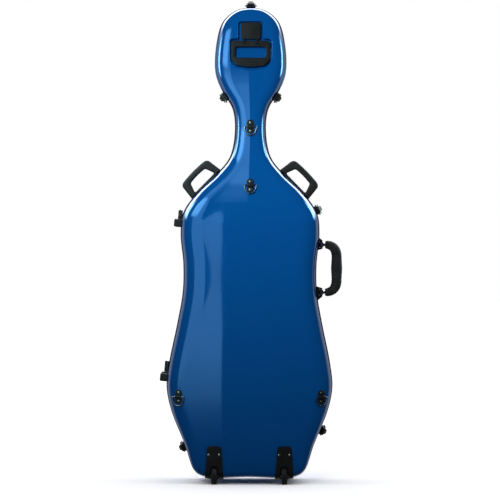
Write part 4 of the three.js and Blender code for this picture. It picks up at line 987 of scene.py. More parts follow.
# Draw latches: six on the rim. A moulded base with two ears is riveted to the back, a domed lever turns on
# a steel pin in it and pulls a chromed wire bail over the hook of a keeper riveted to the lid.
latch_pin_y, latch_pin_z, latch_pin_radius = -0.013, 0.008, 0.0015
latch_pin_head, latch_pin_head_half, latch_pin_head_edge, latch_pin_bore = 0.0026, 0.0005, 0.0004, 0.0019
bail_root_y, bail_root_z, hook_y, hook_z = -0.021, 0.0065, 0.014, 0.005
bail_wire, bail_arm, bail_stub, bail_bend, bail_gap = 0.0013, 0.015, 0.0065, 0.0035, 0.0004
ear_inner, ear_outer, ear_half, ear_foot, ear_top = 0.010, 0.013, 0.0045, 0.001, 0.012
ear_foot_corner, ear_corner, ear_edge = 0.0003, 0.004, 0.0008
base_half, base_back, base_front, base_sink, base_top = 0.013, -0.044, -0.006, 0.0016, 0.0032
base_back_corner, base_front_corner, base_edge = 0.004, 0.002, 0.0012
base_rivet, base_rivet_rise, base_rivet_edge = 0.0024, 0.0009, 0.0006
base_rivet_x, base_rivet_in = 0.0085, 0.0045
lever_half, lever_length, lever_height, lever_edge = 0.0094, 0.035, 0.0173, 0.0012
# The lever's side: shares of its length past the pin and of its height, and corner radii
lever_side_shares = [
    (-0.09, 0.32), (-0.11, 0.6), (0.04, 0.93), (0.35, 1), (0.72, 0.83), (0.96, 0.5), (1, 0.24), (0.3, 0.24),
]
lever_side_radii = (0.001, 0.002, 0.004, 0.02, 0.012, 0.003, 0.0006, 0.001)
lever_flare, lever_foot, lever_crown_rise = 0.0002, 0.002, 0.0006
lever_crown_share, lever_cheek_share, lever_front_radii = 0.5, 0.55, (0.001, 0.003, 0.004)
scoop_radius, scoop_half, scoop_edge, scoop_rise, scoop_share = 0.016, 0.0055, 0.002, 0.0118, 0.72
keeper_half, keeper_edge = 0.0078, 0.0004
# The keeper's side, with its hook: place across the seam, height and radius
keeper_side = [
    (0.005, -0.002, 0.0003), (0.005, 0.0022, 0.0006), (0.0078, 0.0062, 0.001), (0.011, 0.0086, 0.0012),
    (0.0150, 0.0082, 0.0008), (0.0148, 0.0070, 0.0004), (0.0122, 0.0066, 0.0006), (0.0120, 0.0030, 0.0004),
    (0.019, 0.0028, 0.002), (0.024, 0.0012, 0.0006), (0.024, -0.002, 0.0003),
]
keeper_rivet, keeper_rivet_rise, keeper_rivet_edge = 0.0016, 0.0007, 0.0003
keeper_rivet_x, keeper_rivet_y, keeper_rivet_z = 0.0046, 0.0195, 0.0026


def side_prism(corners, half, bevel):
    """A plate drawn by (y, z, radius) corners, reaching half to both sides of the frame's middle."""
    lying = framed((0, 1, 0), (0, 0, 1), (1, 0, 0), (0, 0, 0))
    return moved(prism([rounded(corners)], -half, half, bevel), lying)


def rim_frame(name):
    """The frame of a latch: its y points to the lid, its z out of the wall, its origin on the seam."""
    row = joint(f"latch_lever_{name}_turn")
    across, to_lid = -Vector(row["axis"]), Vector((0, 1, 0))
    out = across.cross(to_lid).normalized()
    return framed(across, to_lid, out, Vector(row["pos_m"]) - out * latch_pin_z - to_lid * latch_pin_y)


def bend(start, corner, end, steps):
    """A curve from start to end that leaves and arrives along the lines to a corner."""
    shares = [k / steps for k in range(steps + 1)]
    return [start * (1 - t) ** 2 + corner * 2 * t * (1 - t) + end * t ** 2 for t in shares]


def base_solid():
    near, far = latch_pin_y - ear_half, latch_pin_y + ear_half
    ear = [(near, ear_foot, ear_foot_corner), (far, ear_foot, ear_foot_corner)]
    ear += [(far, ear_top, ear_corner), (near, ear_top, ear_corner)]
    foot = rounded_box(base_half, base_back, base_front, base_back_corner, base_front_corner)
    solids = [prism([foot], -base_sink, base_top, base_edge)]
    for side in (-1, 1):
        plate = side_prism(ear, (ear_outer - ear_inner) / 2, ear_edge)
        rivet = disc(base_rivet, 0, base_rivet_rise, base_rivet_edge, 24)
        solids.append(moved(plate, shift((side * (ear_inner + ear_outer) / 2, 0, 0))))
        solids.append(moved(rivet, shift((side * base_rivet_x, base_back + base_rivet_in, base_top))))
    return together(*solids)


def lever_solid():
    corners = []
    for (along, up), radius in zip(lever_side_shares, lever_side_radii):
        corners.append((latch_pin_y - along * lever_length, up * lever_height, radius))
    foot, cheek, crown = lever_front_radii
    front = [(lever_half + lever_flare, -lever_foot, foot)]
    front.append((lever_half, lever_cheek_share * lever_height, cheek))
    front.append((lever_crown_share * lever_half, lever_height + lever_crown_rise, crown))
    dome = moved(prism([both_sides(front)], -overrun, 2 * overrun), standing)
    scoop_y = latch_pin_y - lever_length * scoop_share
    scoop = disc(scoop_radius, -scoop_half, scoop_half, scoop_edge, 64)
    scoop = moved(scoop, shift((0, scoop_y, lever_height + scoop_rise)) @ sideways)
    steps = [("INTERSECT", dome), ("DIFFERENCE", scoop)]
    bores = ((latch_pin_y, latch_pin_z, latch_pin_bore), (bail_root_y, bail_root_z, bail_wire + bail_gap))
    for y, z, radius in bores:
        bore = disc(radius, -overrun, overrun, fine, 16)
        steps.append(("DIFFERENCE", moved(bore, shift((0, y, z)) @ sideways)))
    return carved(side_prism(corners, lever_half, lever_edge), *steps)


def bail_solid():
    root, tip = Vector((0, bail_root_y, bail_root_z)), Vector((0, hook_y, hook_z))
    along, length = (tip - root).normalized(), (tip - root).length
    flat = [Vector((bail_stub, 0)), Vector((bail_arm, 0)), Vector((bail_arm, length))]
    flat += [Vector((-corner.x, corner.y)) for corner in reversed(flat)]
    loop = [flat[0]]
    for before, here, after in zip(flat, flat[1:], flat[2:]):
        first = here + (before - here).normalized() * bail_bend
        last = here + (after - here).normalized() * bail_bend
        loop += bend(first, here, last, 6)
    loop.append(flat[-1])
    return bar([root + along * p.y + Vector((p.x, 0, 0)) for p in loop], bail_wire, steps=5)


def latch_pin_solid():
    solids = [disc(latch_pin_radius, -ear_outer, ear_outer, pin_edge, 24)]
    for end in (-ear_outer, ear_outer):
        low, high = end - latch_pin_head_half, end + latch_pin_head_half
        solids.append(disc(latch_pin_head, low, high, latch_pin_head_edge, 24))
    return moved(together(*solids), shift((0, latch_pin_y, latch_pin_z)) @ sideways)


def keeper_rivet_solid():
    rivets = []
    for side in (-1, 1):
        rivet = disc(keeper_rivet, 0, keeper_rivet_rise, keeper_rivet_edge, 20)
        rivets.append(moved(rivet, shift((side * keeper_rivet_x, keeper_rivet_y, keeper_rivet_z))))
    return together(*rivets)


latch_base, latch_lever, latch_bail, latch_pin = base_solid(), lever_solid(), bail_solid(), latch_pin_solid()
latch_keeper, keeper_rivets = side_prism(keeper_side, keeper_half, keeper_edge), keeper_rivet_solid()
for name in ("head_top", "head_left", "head_right", "upper_right", "lower_right", "lower_left"):
    seat = rim_frame(name)
    lever_body, bail_body = f"latch_lever_{name}", f"latch_bail_{name}"
    black_piece(f"latch_foot_{name}", moved(latch_base.copy(), seat), "back", f"latch_base_{name}")
    steel_piece(f"latch_pin_{name}", moved(latch_pin.copy(), seat), "back")
    black_piece(f"latch_dome_{name}", moved(latch_lever.copy(), seat), lever_body, lever_body)
    fitted(f"latch_wire_{name}", moved(latch_bail.copy(), seat), chrome, bail_body, "chrome", bail_body)
    black_piece(f"latch_keeper_{name}", moved(latch_keeper.copy(), seat), "lid")
    steel_piece(f"keeper_rivets_{name}", moved(keeper_rivets.copy(), seat), "lid")

# Hinges: two on the left side, each a pair of moulded leaves riveted to the halves, with knuckles on a
# steel pin that lies outside the wall so that the lid can swing right back.
hinge_stand, knuckle_radius, knuckle_edge = 0.0062, 0.0045, 0.0008
hinge_pin_radius, hinge_pin_edge, hinge_pin_end = 0.002, 0.0005, 0.0012
leaf_half, leaf_near, leaf_far, leaf_top, leaf_sink = 0.022, 0.0026, 0.027, 0.0024, 0.0012
leaf_low_corner, leaf_high_corner, leaf_edge = 0.002, 0.003, 0.0009
knuckle_split, knuckle_gap = 0.008, 0.0004
web_start, web_in, web_edge, web_share = 0.0002, 0.0004, 0.0005, 2.4
leaf_rivet, leaf_rivet_rise, leaf_rivet_edge, leaf_rivet_y = 0.0023, 0.0009, 0.0006, 0.0185
leaf_rivet_shares = (-0.6, 0, 0.6)
to_lid = Vector((0, 1, 0))
hinge_line = Vector(joint("lid_hinge")["axis"]).normalized()
hinge_foot = Vector(joint("lid_hinge")["pos_m"])
into_case = -hinge_line.cross(to_lid).normalized()
hinge_rise = (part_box("hinge_leaf_back_upper")[0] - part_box("hinge_leaf_back_lower")[0]).dot(hinge_line)


def leaf_solid(towards, spans):
    low, high = sorted((towards * leaf_near, towards * leaf_far))
    loop = rounded_box(leaf_half, low, high, leaf_low_corner, leaf_high_corner)
    on_wall = framed((0, 0, 1), (0, 1, 0), (-1, 0, 0), (hinge_stand, 0, 0))
    solids = [moved(prism([loop], -leaf_sink, leaf_top, leaf_edge), on_wall)]
    near, far = sorted((0, towards * leaf_near * web_share))
    for low_z, high_z in spans:
        web_high = (hinge_stand + leaf_sink / 2, far, high_z - web_in)
        solids.append(disc(knuckle_radius, low_z, high_z, knuckle_edge, 40))
        solids.append(block((web_start, near, low_z + web_in), web_high, web_edge))
    for share in leaf_rivet_shares:
        rivet = disc(leaf_rivet, 0, leaf_rivet_rise, leaf_rivet_edge, 24)
        spot = shift((hinge_stand - leaf_top, towards * leaf_rivet_y, share * leaf_half))
        solids.append(moved(rivet, spot @ Matrix.Rotation(math.radians(-90), 4, "Y")))
    return together(*solids)


knuckles = {
    "back": [(-leaf_half, -knuckle_split), (knuckle_split, leaf_half)],
    "lid": [(knuckle_gap - knuckle_split, knuckle_split - knuckle_gap)],
}
for rise, name in ((0.0, "lower"), (hinge_rise, "upper")):
    seat = framed(into_case, to_lid, hinge_line, hinge_foot + hinge_line * rise)
    for which, towards in half_sides.items():
        leaf = moved(leaf_solid(towards, knuckles[which]), seat)
        black_piece(f"hinge_{which}_half_{name}", leaf, which, f"hinge_leaf_{which}_{name}")
    pin = disc(hinge_pin_radius, -leaf_half - hinge_pin_end, leaf_half + hinge_pin_end, hinge_pin_edge, 32)
    steel_piece(f"hinge_pin_{name}", moved(pin, seat), "back")

# Feet: rubber blocks on which the case lies on its left side, and two under the lid half that keep it
# upright together with the wheels. Each is screwed through the shell and rounded all round.
foot_round, foot_edge, foot_sink = 0.006, 0.0035, 0.004
well_depth, well_edge = 0.004, 0.0006
side_foot_half, side_foot_near, side_foot_far, side_foot_proud = 0.011, 0.036, 0.074, 0.018
front_foot_half, front_foot_near, front_foot_far, front_foot_high = 0.015, 0.084, 0.112, 0.024
side_foot_well, front_foot_well = 0.0042, 0.0045


def rubber_piece(name, bm, body, *nodes):
    return fitted(name, bm, black_rubber, body, "dark_rubber", *nodes)


def pad_block(half, near, far, low, high, mouth):
    """A rounded rubber block with a screw well in its face."""
    solid = prism([rounded_box(half, near, far, foot_round)], low, high, foot_edge)
    well = disc(mouth, -well_depth, well_depth, well_edge, 32)
    return carved(solid, ("DIFFERENCE", moved(well, shift((0, (near + far) / 2, high)))))


for name in ("lower", "upper"):
    low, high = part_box(f"side_foot_back_{name}")
    point = rim_at((low.z + high.z) / 2, -1)[0]
    seat = framed(-hinge_line, to_lid, -into_case, point + middle)
    for which, towards in half_sides.items():
        near, far = sorted((towards * side_foot_near, towards * side_foot_far))
        foot = pad_block(side_foot_half, near, far, -foot_sink, side_foot_proud, side_foot_well)
        rubber_piece(f"side_foot_pad_{which}_{name}", moved(foot, seat), which, f"side_foot_{which}_{name}")
for name, spot in wheel_spots.items():
    under = shift((spot.x, middle.y, 0)) @ Matrix.Rotation(math.radians(180), 4, "X")
    foot = pad_block(front_foot_half, -front_foot_far, -front_foot_near, -front_foot_high, 0, front_foot_well)
    rubber_piece(f"front_foot_pad_{name}", moved(foot, under), "lid", f"front_foot_{name}")

# Shoulder handles: two fixed moulded loops on the sloping shoulders of the back, oval in section, with
# feet that follow the shell and are bolted from inside.
shoulder_low_share, shoulder_high_share, shoulder_near_share = 0.5941, 0.6512, 0.163
shoulder_thick, shoulder_edge = 0.022, 0.0068
shoulder_foot, shoulder_flare, shoulder_sink, shoulder_heel = 0.057, 0.002, 0.006, 0.006
shoulder_top, shoulder_brow, shoulder_height, shoulder_bow = 0.051, 0.001, 0.048, 0.003
shoulder_radii, shoulder_bow_radius = (0.001, 0.006, 0.014), 0.05
opening_foot, opening_top, opening_low, opening_high = 0.039, 0.029, 0.0045, 0.032
opening_radii = (0.003, 0.007, 0.2)
shoulder_cut_low, shoulder_cut_high = 0.7, 1.0


def shoulder_solid():
    flare, heel, brow = shoulder_radii
    outer = [(shoulder_foot + shoulder_flare, -shoulder_sink, flare), (shoulder_foot, shoulder_heel, heel)]
    outer.append((shoulder_top + shoulder_brow, shoulder_height - shoulder_brow, brow))
    low, high, top = opening_radii
    opening = [(opening_foot, opening_low, low), (opening_top, opening_high, high)]
    crown = []
    for k in range(7, -8, -1):
        height = shoulder_height + shoulder_bow * (1 - (k / 10) ** 2)
        crown.append((shoulder_top * k / 10, height, shoulder_bow_radius))
    loops = [both_sides(outer, crown), both_sides(opening, [(0, opening_high + shoulder_bow, top)])]
    return prism(loops, -shoulder_thick / 2, shoulder_thick / 2, shoulder_edge, 6)


handle_plastic = moulded_plastic("handle_plastic", 0.012, 0.5, 1600)
for side, name in ((-1, "left"), (1, "right")):
    low = rim_at(shell_foot + shoulder_low_share * shell_height, side)[0]
    high = rim_at(shell_foot + shoulder_high_share * shell_height, side)[0]
    along = (high - low).normalized()
    out = Vector((along.z, 0, -along.x)) * side
    depth = shoulder_near_share * half_depths["back"] + shoulder_thick / 2
    seat = framed(along, out, along.cross(out), (low + high) / 2 + middle - to_lid * depth)
    node = f"shoulder_handle_{name}"
    solid = moved(shoulder_solid(), seat)
    loop = fitted(f"shoulder_handle_loop_{name}", solid, handle_plastic, "back", "grip_plastic", node)
    shaped(loop, ("DIFFERENCE", half_form("back", -seat_clearance, shoulder_cut_low, shoulder_cut_high)))

# Carry handle: two moulded staples on the right side, each with a steel bar, and between them a steel
# strap with rolled eyes that carries a soft rubber grip, thicker in the middle.
eye_spread, eye_radius, eye_half, eye_edge, eye_gap = 0.0675, 0.0064, 0.0075, 0.0006, 0.0004
core_radius, bar_radius, bar_in = 0.0045, 0.0026, 0.001
staple_half, staple_wide, staple_top, staple_root, staple_edge = 0.012, 0.009, 0.004, 0.026, 0.002
staple_flare_far, staple_flare_near, staple_flare_root = 0.022, 0.0155, 0.007
staple_corner, staple_flare_radius, staple_root_corner = 0.003, 0.005, 0.001
staple_cut_low, staple_cut_high = 0.45, 0.8
grip_reach, grip_start, grip_bend, grip_bore_gap = 0.044, 0.0112, 0.0365, 0.0003
grip_end, grip_middle, grip_swell, grip_swell_share = 0.0110, 0.0142, 0.0016, 0.1
grip_rib, grip_rib_waves, grip_rib_from_share, grip_rib_to_share = 0.0005, 160, 0.3, 0.7
grip_end_share, grip_taper_shares = 0.82, (4, 0.8)
carry_spot = Vector(joint("carry_handle_swing")["pos_m"])
carry_at = shift(carry_spot)


def carry_line(steps):
    """The handle's middle line from eye to eye, round both of its corners."""
    start, corner = Vector((grip_start, 0, -eye_spread)), Vector((grip_reach, 0, -eye_spread))
    end = Vector((grip_reach, 0, grip_bend - eye_spread))
    line = [Vector((0, 0, -eye_spread)), Vector((grip_start / 2, 0, -eye_spread))]
    line += bend(start, corner, end, steps)
    line += [end + Vector((0, 0, -2 * end.z)) * k / steps for k in range(1, steps)]
    return line + [Vector((p.x, 0, -p.z)) for p in reversed(line[:steps + 3])]


def staple_solid(side):
    """A staple, drawn from behind for the lower eye and turned over for the upper one."""
    corners = [
        (-staple_root, -staple_flare_far - staple_flare_root, staple_root_corner),
        (-2 * staple_top, -staple_flare_far, staple_flare_radius),
        (staple_top, -staple_half, staple_corner),
        (staple_top, staple_half, staple_corner),
        (-2 * staple_top, staple_flare_near, staple_flare_radius),
        (-staple_root, staple_flare_near + staple_flare_root, staple_root_corner),
    ]
    body = moved(prism([rounded(corners)], -staple_wide, staple_wide, staple_edge), standing)
    half = eye_half + eye_gap
    room = disc(eye_radius + eye_gap, -half, half, fine, 40)
    open_side = block((-core_radius - eye_gap, -overrun, -half), (overrun, overrun, half))
    solid = carved(body, ("DIFFERENCE", room), ("DIFFERENCE", open_side))
    return moved(solid, Matrix.Diagonal((1, 1, side, 1)))


def eye_solid():
    lower = [(bar_radius + eye_gap, -eye_half), (eye_radius - eye_edge, -eye_half)]
    return turned(both_faces([*lower, (eye_radius, eye_edge - eye_half)]), 40)


def grip_solid():
    line = [p for p in carry_line(24) if p.x > grip_start - fine]
    count = len(line) - 1
    taper_rate, taper_power = grip_taper_shares
    sizes = []
    for i in range(len(line)):
        share = i / count
        taper = min(1, taper_rate * min(share, 1 - share)) ** taper_power
        ends = min(1, min(i, count - i) / 2)
        swell = grip_swell * math.exp(-((share - 0.5) / grip_swell_share) ** 2)
        ribbed = grip_rib_from_share < share < grip_rib_to_share
        rib = grip_rib * math.cos(share * grip_rib_waves) if ribbed else 0
        size = grip_end + (grip_middle - grip_end) * taper + swell + rib
        sizes.append(size * (grip_end_share + (1 - grip_end_share) * math.sqrt(ends)))
    return bar(line, 1.0, radii=sizes, steps=8)


for side, name in ((1, "lower"), (-1, "upper")):
    eye_at = carry_at @ shift((0, 0, -side * eye_spread))
    node = f"carry_handle_bracket_{name}"
    staple = black_piece(f"carry_staple_{name}", moved(staple_solid(side), eye_at), "back", node)
    shaped(staple, ("DIFFERENCE", half_form("back", -seat_clearance, staple_cut_low, staple_cut_high)))
    pin = disc(bar_radius, bar_in - staple_half, staple_half - bar_in, pin_edge, 32)
    steel_piece(f"carry_bar_{name}", moved(pin, eye_at), "back")
strap = bar(carry_line(12), core_radius, steps=5)
strap_piece = steel_piece("carry_strap", moved(strap, carry_at), "carry_handle", "carry_handle_core")
eyes = []
for end in (-eye_spread, eye_spread):
    bore = disc(bar_radius + eye_gap, end - overrun, end + overrun)
    shaped(strap_piece, ("DIFFERENCE", moved(bore, carry_at)))
    eyes.append(moved(eye_solid(), shift((0, 0, end))))
steel_piece("carry_strap_eyes", moved(together(*eyes), carry_at), "carry_handle")
sleeve = rubber_piece("carry_grip_sleeve", moved(grip_solid(), carry_at), "carry_handle", "carry_handle_grip")
sleeve_bore = bar(carry_line(12), core_radius + grip_bore_gap, steps=5)
shaped(sleeve, ("DIFFERENCE", moved(sleeve_bore, carry_at)))

# Gasket: a rubber strip bedded in the seam all the way round, which the lid presses on.
gasket_half, gasket_reach, gasket_gap, gasket_edge = 0.0017, 0.0085, 0.0004, 0.0005
gasket_steps = 6


def rim_loop(inset):
    loop = []
    for k in range(len(stations) * gasket_steps):
        point, out, _ = outline_spot(k / gasket_steps)
        loop.append((point - out * inset).xz)
    return loop


strip = prism([rim_loop(gasket_gap), rim_loop(gasket_reach)], -gasket_half, gasket_half, gasket_edge, 2)
rubber_piece("rim_gasket_strip", moved(strip, shift(middle) @ standing), "back", "rim_gasket")

# Linings: firm foam, 12 mm thick, covered in dark grey velour and glued into both halves. It is cut round
# the cup of the head handle and round the wheel housings, and its edge is bound.
lining_gap, lining_thick, lining_edge = 0.0029, 0.0120, 0.0022
lining_cup_gap, lining_bucket_gap = 0.0005, 0.0006
binding_radius, binding_in_share, binding_out_share = 0.0021, 0.6, 0.4
cover_reach, cover_gap, cover_round = 0.0015, 0.0006, 0.0018
mottle_scale, mottle_detail, mottle_shares = 24, 6, (0.35, 0.7)
nap_scale, nap_strength, nap_depth = 1800, 0.5, 0.0006
weave_strength, weave_depth, weave_warp = 0.6, 0.0005, 0.4
thread_shares = ((0.5, 0.5, 0.55), (1.6, 1.6, 1.7))


def velour(name, low_tone, high_tone):
    """Short-pile velour: soft mottling, a fine nap and a light sheen at grazing angles."""
    made, tree, shader = new_material(name)
    tones = toned(tree, noise(tree, mottle_scale, mottle_detail), mottle_shares, (low_tone, high_tone))
    nap = bumped(tree, noise(tree, nap_scale), nap_strength, nap_depth)
    fill_inputs(tree, shader, {"Base Color": tones, "Normal": nap, "Roughness": 0.95})
    fill_inputs(tree, shader, {"Sheen Weight": 0.55, "Sheen Roughness": 0.4})
    return made


def woven(name, tone, pitch):
    """Woven webbing or bag cloth: two sets of threads that cross, with a dull nylon shine."""
    made, tree, shader = new_material(name)
    place = add_node(tree, "TexCoord", {}).outputs["Object"]
    values = {"Vector": place, "Scale": pitch, "Distortion": weave_warp}
    threads = [add_node(tree, "TexWave", values, bands_direction=way).outputs["Fac"] for way in ("X", "Z")]
    weave = maths(tree, "MULTIPLY", *threads)
    dark, pale = [(*[tone * share for share in shares], 1) for shares in thread_shares]
    tones = blended(tree, weave, dark, pale)
    relief = bumped(tree, weave, weave_strength, weave_depth)
    fill_inputs(tree, shader, {"Base Color": tones, "Normal": relief, "Roughness": 0.62, "Sheen Weight": 0.2})
    return made


lining_velour = velour("lining_velour", (0.010, 0.012, 0.017, 1), (0.020, 0.023, 0.030, 1))
pad_velour = velour("pad_velour", (0.016, 0.019, 0.028, 1), (0.030, 0.035, 0.048, 1))
webbing = woven("nylon_webbing", 0.014, 260)
bag_cloth = woven("bag_cloth", 0.011, 420)
cover_loop = recess_loop(shell_wall + cover_reach)
cover = prism([cover_loop], -recess_depth - shell_wall - cover_reach, -recess_depth - cover_gap, cover_round)
fitted("cup_cover", moved(cover, head_frame), lining_velour, "back", "velour")


def webbing_piece(name, bm, body, material=webbing):
    return fitted(name, bm, material, body, "webbing")


def lining_piece(which):
    skin = shell_grid(which, lining_gap, lining_edge)
    piece = walled(finished(f"{which}_foam_lining", skin, lining_velour, shell_angle), lining_thick)
    if which == "back":
        room, tub = recess_solid(shell_wall + lining_cup_gap), bucket(lining_bucket_gap)
        other_tub = moved(tub.copy(), mirror_x)
        shaped(piece, ("DIFFERENCE", room), ("DIFFERENCE", tub), ("DIFFERENCE", other_tub))
    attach(piece, which)
    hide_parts(f"{which}_lining")
    inset = lining_gap + lining_thick - binding_radius * binding_in_share
    depth = half_sides[which] * (lining_edge + binding_radius * binding_out_share)
    line = [Vector((x, depth, z)) + middle for x, z in rim_loop(inset)]
    webbing_piece(f"{which}_lining_binding", bar(line, binding_radius, True, steps=3), which)
    return piece


lining = {which: lining_piece(which) for which in half_sides}

# Pads in the back: a block for the endpin, two wedges for the shoulders and the neck's cradle. Each is foam
# in velour, so it is blown up a little from its cut block until its faces crown and its edges soften.
puff_voxel, puff_cap, cradle_cap, puff_start_share = 0.005, 0.006, 0.004, 0.985
puff_frames, puff_pressure = 20, 4.0


def foam_block(node):
    """A node's plain block as one closed mesh, drawn in a little towards its own middle."""
    bm = bmesh.new()
    bm.from_mesh(frame["nodes"][node].data)
    bmesh.ops.remove_doubles(bm, verts=bm.verts, dist=fine / 10)
    bmesh.ops.recalc_face_normals(bm, faces=bm.faces)
    low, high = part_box(node)
    centre = (low + high) / 2
    return moved(bm, shift(centre) @ Matrix.Diagonal((*[puff_start_share] * 3, 1)) @ shift(-centre))


def puffed(name, node, material=pad_velour, cap=puff_cap, body="back"):
    piece = finished(name, foam_block(node), material, shell_angle)
    grain = piece.modifiers.new("grain", "REMESH")
    grain.mode = "VOXEL"
    grain.voxel_size = puff_voxel
    applied(piece)
    piece.data.materials.clear()
    piece.data.materials.append(material)
    start = [vertex.co.copy() for vertex in piece.data.vertices]
    cloth = piece.modifiers.new("cloth", "CLOTH")
    cloth.settings.use_pressure = True
    cloth.settings.uniform_pressure_force = puff_pressure
    cloth.settings.effector_weights.gravity = 0
    cloth.point_cache.frame_end = puff_frames
    for step in range(1, puff_frames + 1):
        scene.frame_set(step)
    applied(piece)
    scene.frame_set(1)
    for vertex, place in zip(piece.data.vertices, start):
        swell = vertex.co - place
        if swell.length > cap:
            vertex.co = place + swell.normalized() * cap
    smooth = piece.modifiers.new("smooth", "SUBSURF")
    smooth.levels = smooth.render_levels = 1
    applied(piece)
    piece.data.shade_smooth()
    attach(piece, body)
    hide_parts(node)


puffed("endpin_pad", "end_pad")
for name in ("left", "right"):
    puffed(f"shoulder_wedge_{name}", f"shoulder_pad_{name}")
puffed("neck_cradle_pad", "neck_cradle", cap=cradle_cap)

# Neck strap: a webbing band across the cradle's mouth that holds the cello's neck down. It is stitched to
# the cradle on the left and closes with a hook-and-loop end on the right.
band_half, band_thick, band_rise, band_in, band_sink = 0.012, 0.0022, 0.0045, 0.001, 0.0015
band_edge_cap, band_edge_share, band_arch_power, band_steps = 0.002, 0.3, 0.7, 24
tab_start_share, tab_end_share, tab_lift_share, tab_rise_share = 0.25, 0.92, 0.15, 0.75
tab_half_share, tab_thick_share = 0.9, 0.7
cradle_low, cradle_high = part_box("neck_cradle")


def band_solid(left, right, lift, half, thick):
    """A flat band that arches over the mouth, drawn from the side and as wide as the webbing."""
    top, low = [], []
    for k in range(band_steps + 1):
        x = left + (right - left) * k / band_steps
        rise = lift * math.sin(math.radians(180) * k / band_steps) ** band_arch_power
        top.append((x, rise + thick))
        low.append((x, rise))
    return prism([low + top[::-1]], -half, half, min(thick, band_edge_cap) * band_edge_share, 2)


reach = (cradle_high.x - cradle_low.x) / 2 - band_in
band_at = shift((middle.x, cradle_high.y - band_sink - band_thick, (cradle_low.z + cradle_high.z) / 2))
band = band_solid(-reach, reach, band_rise, band_half, band_thick)
webbing_piece("neck_strap", moved(band, band_at), "back")
tab_size = (band_rise * tab_lift_share, band_half * tab_half_share, band_thick * tab_thick_share)
tab = moved(band_solid(reach * tab_start_share, reach * tab_end_share, *tab_size), band_at)
tab = moved(tab, shift((0, band_rise * tab_rise_share, 0)))
webbing_piece("neck_strap_tab", tab, "back", woven("hook_and_loop", 0.02, 700))

# Bow holders: in the lid, two foam clips with turning catches for the bows' frogs, and two cloth pockets
# for their tips, all sewn to the lining.
clip_half, clip_wide, clip_height, clip_notch = 0.009, 0.015, 0.030, 0.0075
clip_top_gap, clip_edge = 0.003, 0.0022
notch_near, notch_far, notch_front, notch_edge = 0.002, 0.03, 0.01, 0.002
into_lining = 0.004
catch_thick, catch_long, catch_half, catch_pin = 0.005, 0.034, 0.006, 0.003
catch_round, catch_edge, catch_seat, catch_gap = 0.0056, 0.0014, 0.0003, 0.0004
catch_rib_half, catch_rib_wide, catch_rib_sink = 0.004, 0.0012, 0.0004
catch_rib_rise, catch_rib_edge, catch_rib_starts = 0.0006, 0.0003, (0.014, 0.0175, 0.021)
post_length, post_rise, post_edge = 0.012, 0.0006, 0.0003
post_head_proud, post_head_thick, post_head_edge, post_head_rise = 0.0016, 0.0012, 0.0006, 0.0004
pocket_x, pocket_low, pocket_high, pocket_half = 0.0859, 0.778, 0.826, 0.015
pocket_thick, pocket_wall, pocket_edge, pocket_hollow_edge, pocket_mouth = 0.022, 0.003, 0.005, 0.004, 0.01
hem_radius, hem_proud, hem_sink, hem_rise, hem_round = 0.0012, 0.0004, 0.001, 0.002, 0.005
lid_skin = BVHTree.FromObject(lining["lid"], bpy.context.evaluated_depsgraph_get())


def lining_face(x, z):
    """Depth of the lid lining's inner face, looked at from the open side."""
    return lid_skin.ray_cast(Vector((x, 0, z)), Vector((0, 1, 0)))[0].y


def clip_piece(name, pin, side):
    """A foam clip glued to the lining, with a notch in its outer side for the bow's frog."""
    face, top = lining_face(pin.x, pin.z), pin.y + clip_top_gap
    low = (pin.x - clip_half, top, pin.z - clip_wide)
    high = (pin.x + clip_half, face + into_lining, pin.z + clip_wide)
    clip = fitted(f"bow_clip_{name}", block(low, high, clip_edge, 3), pad_velour, "lid", "velour")
    near, far = sorted((pin.x - side * notch_near, pin.x - side * notch_far))
    low = (near, top - notch_front, pin.z - clip_notch)
    high = (far, top + clip_height / 2, pin.z + clip_notch)
    shaped(clip, ("DIFFERENCE", block(low, high, notch_edge)))


def catch_solid():
    loop = rounded_box(catch_half, -catch_half, catch_long - catch_half, catch_round)
    steps = []
    for start in catch_rib_starts:
        low = (-catch_rib_half, start, catch_thick - catch_rib_sink)
        high = (catch_rib_half, start + catch_rib_wide, catch_thick + catch_rib_rise)
        steps.append(("UNION", block(low, high, catch_rib_edge)))
    steps.append(("DIFFERENCE", disc(catch_pin + catch_gap, -overrun, overrun)))
    return carved(prism([loop], 0, catch_thick, catch_edge), *steps)


def post_solid():
    post = disc(catch_pin, -post_length, catch_thick + post_rise, post_edge)
    head = disc(catch_pin + post_head_proud, 0, post_head_thick, post_head_edge)
    return together(post, moved(head, shift((0, 0, catch_thick + post_head_rise))))


def pocket_piece(name, x):
    """A cloth pocket, open below, and the hem round its mouth."""
    face = lining_face(x, (pocket_low + pocket_high) / 2)
    left, right, front = x - pocket_half, x + pocket_half, face - pocket_thick
    outside = block((left, front, pocket_low), (right, face + into_lining, pocket_high), pocket_edge, 4)
    pocket = webbing_piece(f"bow_pocket_{name}", outside, "lid", bag_cloth)
    low = (left + pocket_wall, front + pocket_wall, pocket_low - pocket_mouth)
    high = (right - pocket_wall, face - pocket_wall, pocket_high - pocket_wall)
    shaped(pocket, ("DIFFERENCE", block(low, high, pocket_hollow_edge, 3)))
    hem = rounded_box(pocket_half + hem_proud, front - hem_proud, face + hem_sink, hem_round)
    line = [Vector((x + across, depth, pocket_low + hem_rise)) for across, depth in hem]
    webbing_piece(f"bow_pocket_hem_{name}", bar(line, hem_radius, True, steps=2), "lid")


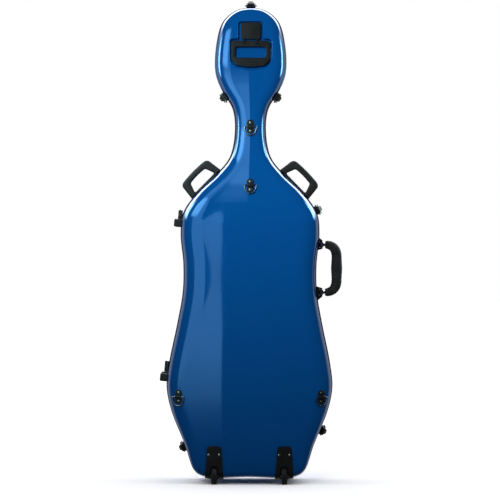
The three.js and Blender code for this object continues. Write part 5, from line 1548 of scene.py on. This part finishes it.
for side, name in ((-1, "left"), (1, "right")):
    node = f"bow_catch_{name}"
    pin = Vector(joint(f"{node}_turn")["pos_m"])
    clip_piece(name, pin, side)
    lying = shift((pin.x, pin.y + clip_top_gap - catch_seat, pin.z)) @ standing
    black_piece(f"{node}_button", moved(catch_solid(), lying), node, node)
    steel_piece(f"bow_catch_post_{name}", moved(post_solid(), lying), "lid")
    pocket_piece(name, middle.x + side * pocket_x)

# Accessory pouch: a box of padded bag cloth for rosin and strings, sewn to the lid's lining at the head,
# with piped edges, a zip round its front and a cloth puller.
pouch_round, pouch_cap = 0.014, 0.003
piping_radius, piping_depth, piping_in = 0.0018, 0.004, 0.003
zip_radius, zip_depth, zip_proud = 0.0014, 0.013, 0.0004
tape_radius, tape_depths, tape_in = 0.0016, (0.0105, 0.0155), 0.0002
slider_half, slider_near, slider_far, slider_drop, slider_rise = 0.005, 0.008, 0.018, 0.004, 0.001
puller_half, puller_front, puller_back, puller_length, puller_edge = 0.004, 0.0016, 0.0006, 0.034, 0.0009
slider_edge = puller_drop = 0.001
pouch_low, pouch_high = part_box("accessory_pouch")
pouch_half = (pouch_high.x - pouch_low.x) / 2
puffed("accessory_pouch_body", "accessory_pouch", bag_cloth, pouch_cap, "lid")


def round_pouch(depth, inset, radius, steps=3):
    """A round cord round the pouch's sides at a depth from its front."""
    edge = rounded_box(pouch_half - inset, pouch_low.z + inset, pouch_high.z - inset, pouch_round)
    line = [Vector((middle.x + x, pouch_low.y + depth, z)) for x, z in edge]
    return bar(line, radius, True, steps=steps)


webbing_piece("pouch_piping", round_pouch(piping_depth, piping_in, piping_radius), "lid")
steel_piece("pouch_zip", round_pouch(zip_depth, -zip_proud, zip_radius), "lid")
tapes = [round_pouch(depth, tape_in, tape_radius, 2) for depth in tape_depths]
webbing_piece("pouch_zip_tape", together(*tapes), "lid")
pouch_foot = Vector((middle.x, pouch_low.y, pouch_low.z))
slider = block((-slider_half, slider_near, -slider_drop), (slider_half, slider_far, slider_rise), slider_edge)
steel_piece("pouch_zip_slider", moved(slider, shift(pouch_foot)), "lid")
puller = block((-puller_half, -puller_front, -puller_length), (puller_half, puller_back, 0), puller_edge)
puller_at = shift(pouch_foot + Vector((0, zip_depth, -puller_drop)))
webbing_piece("pouch_zip_puller", moved(puller, puller_at), "lid")
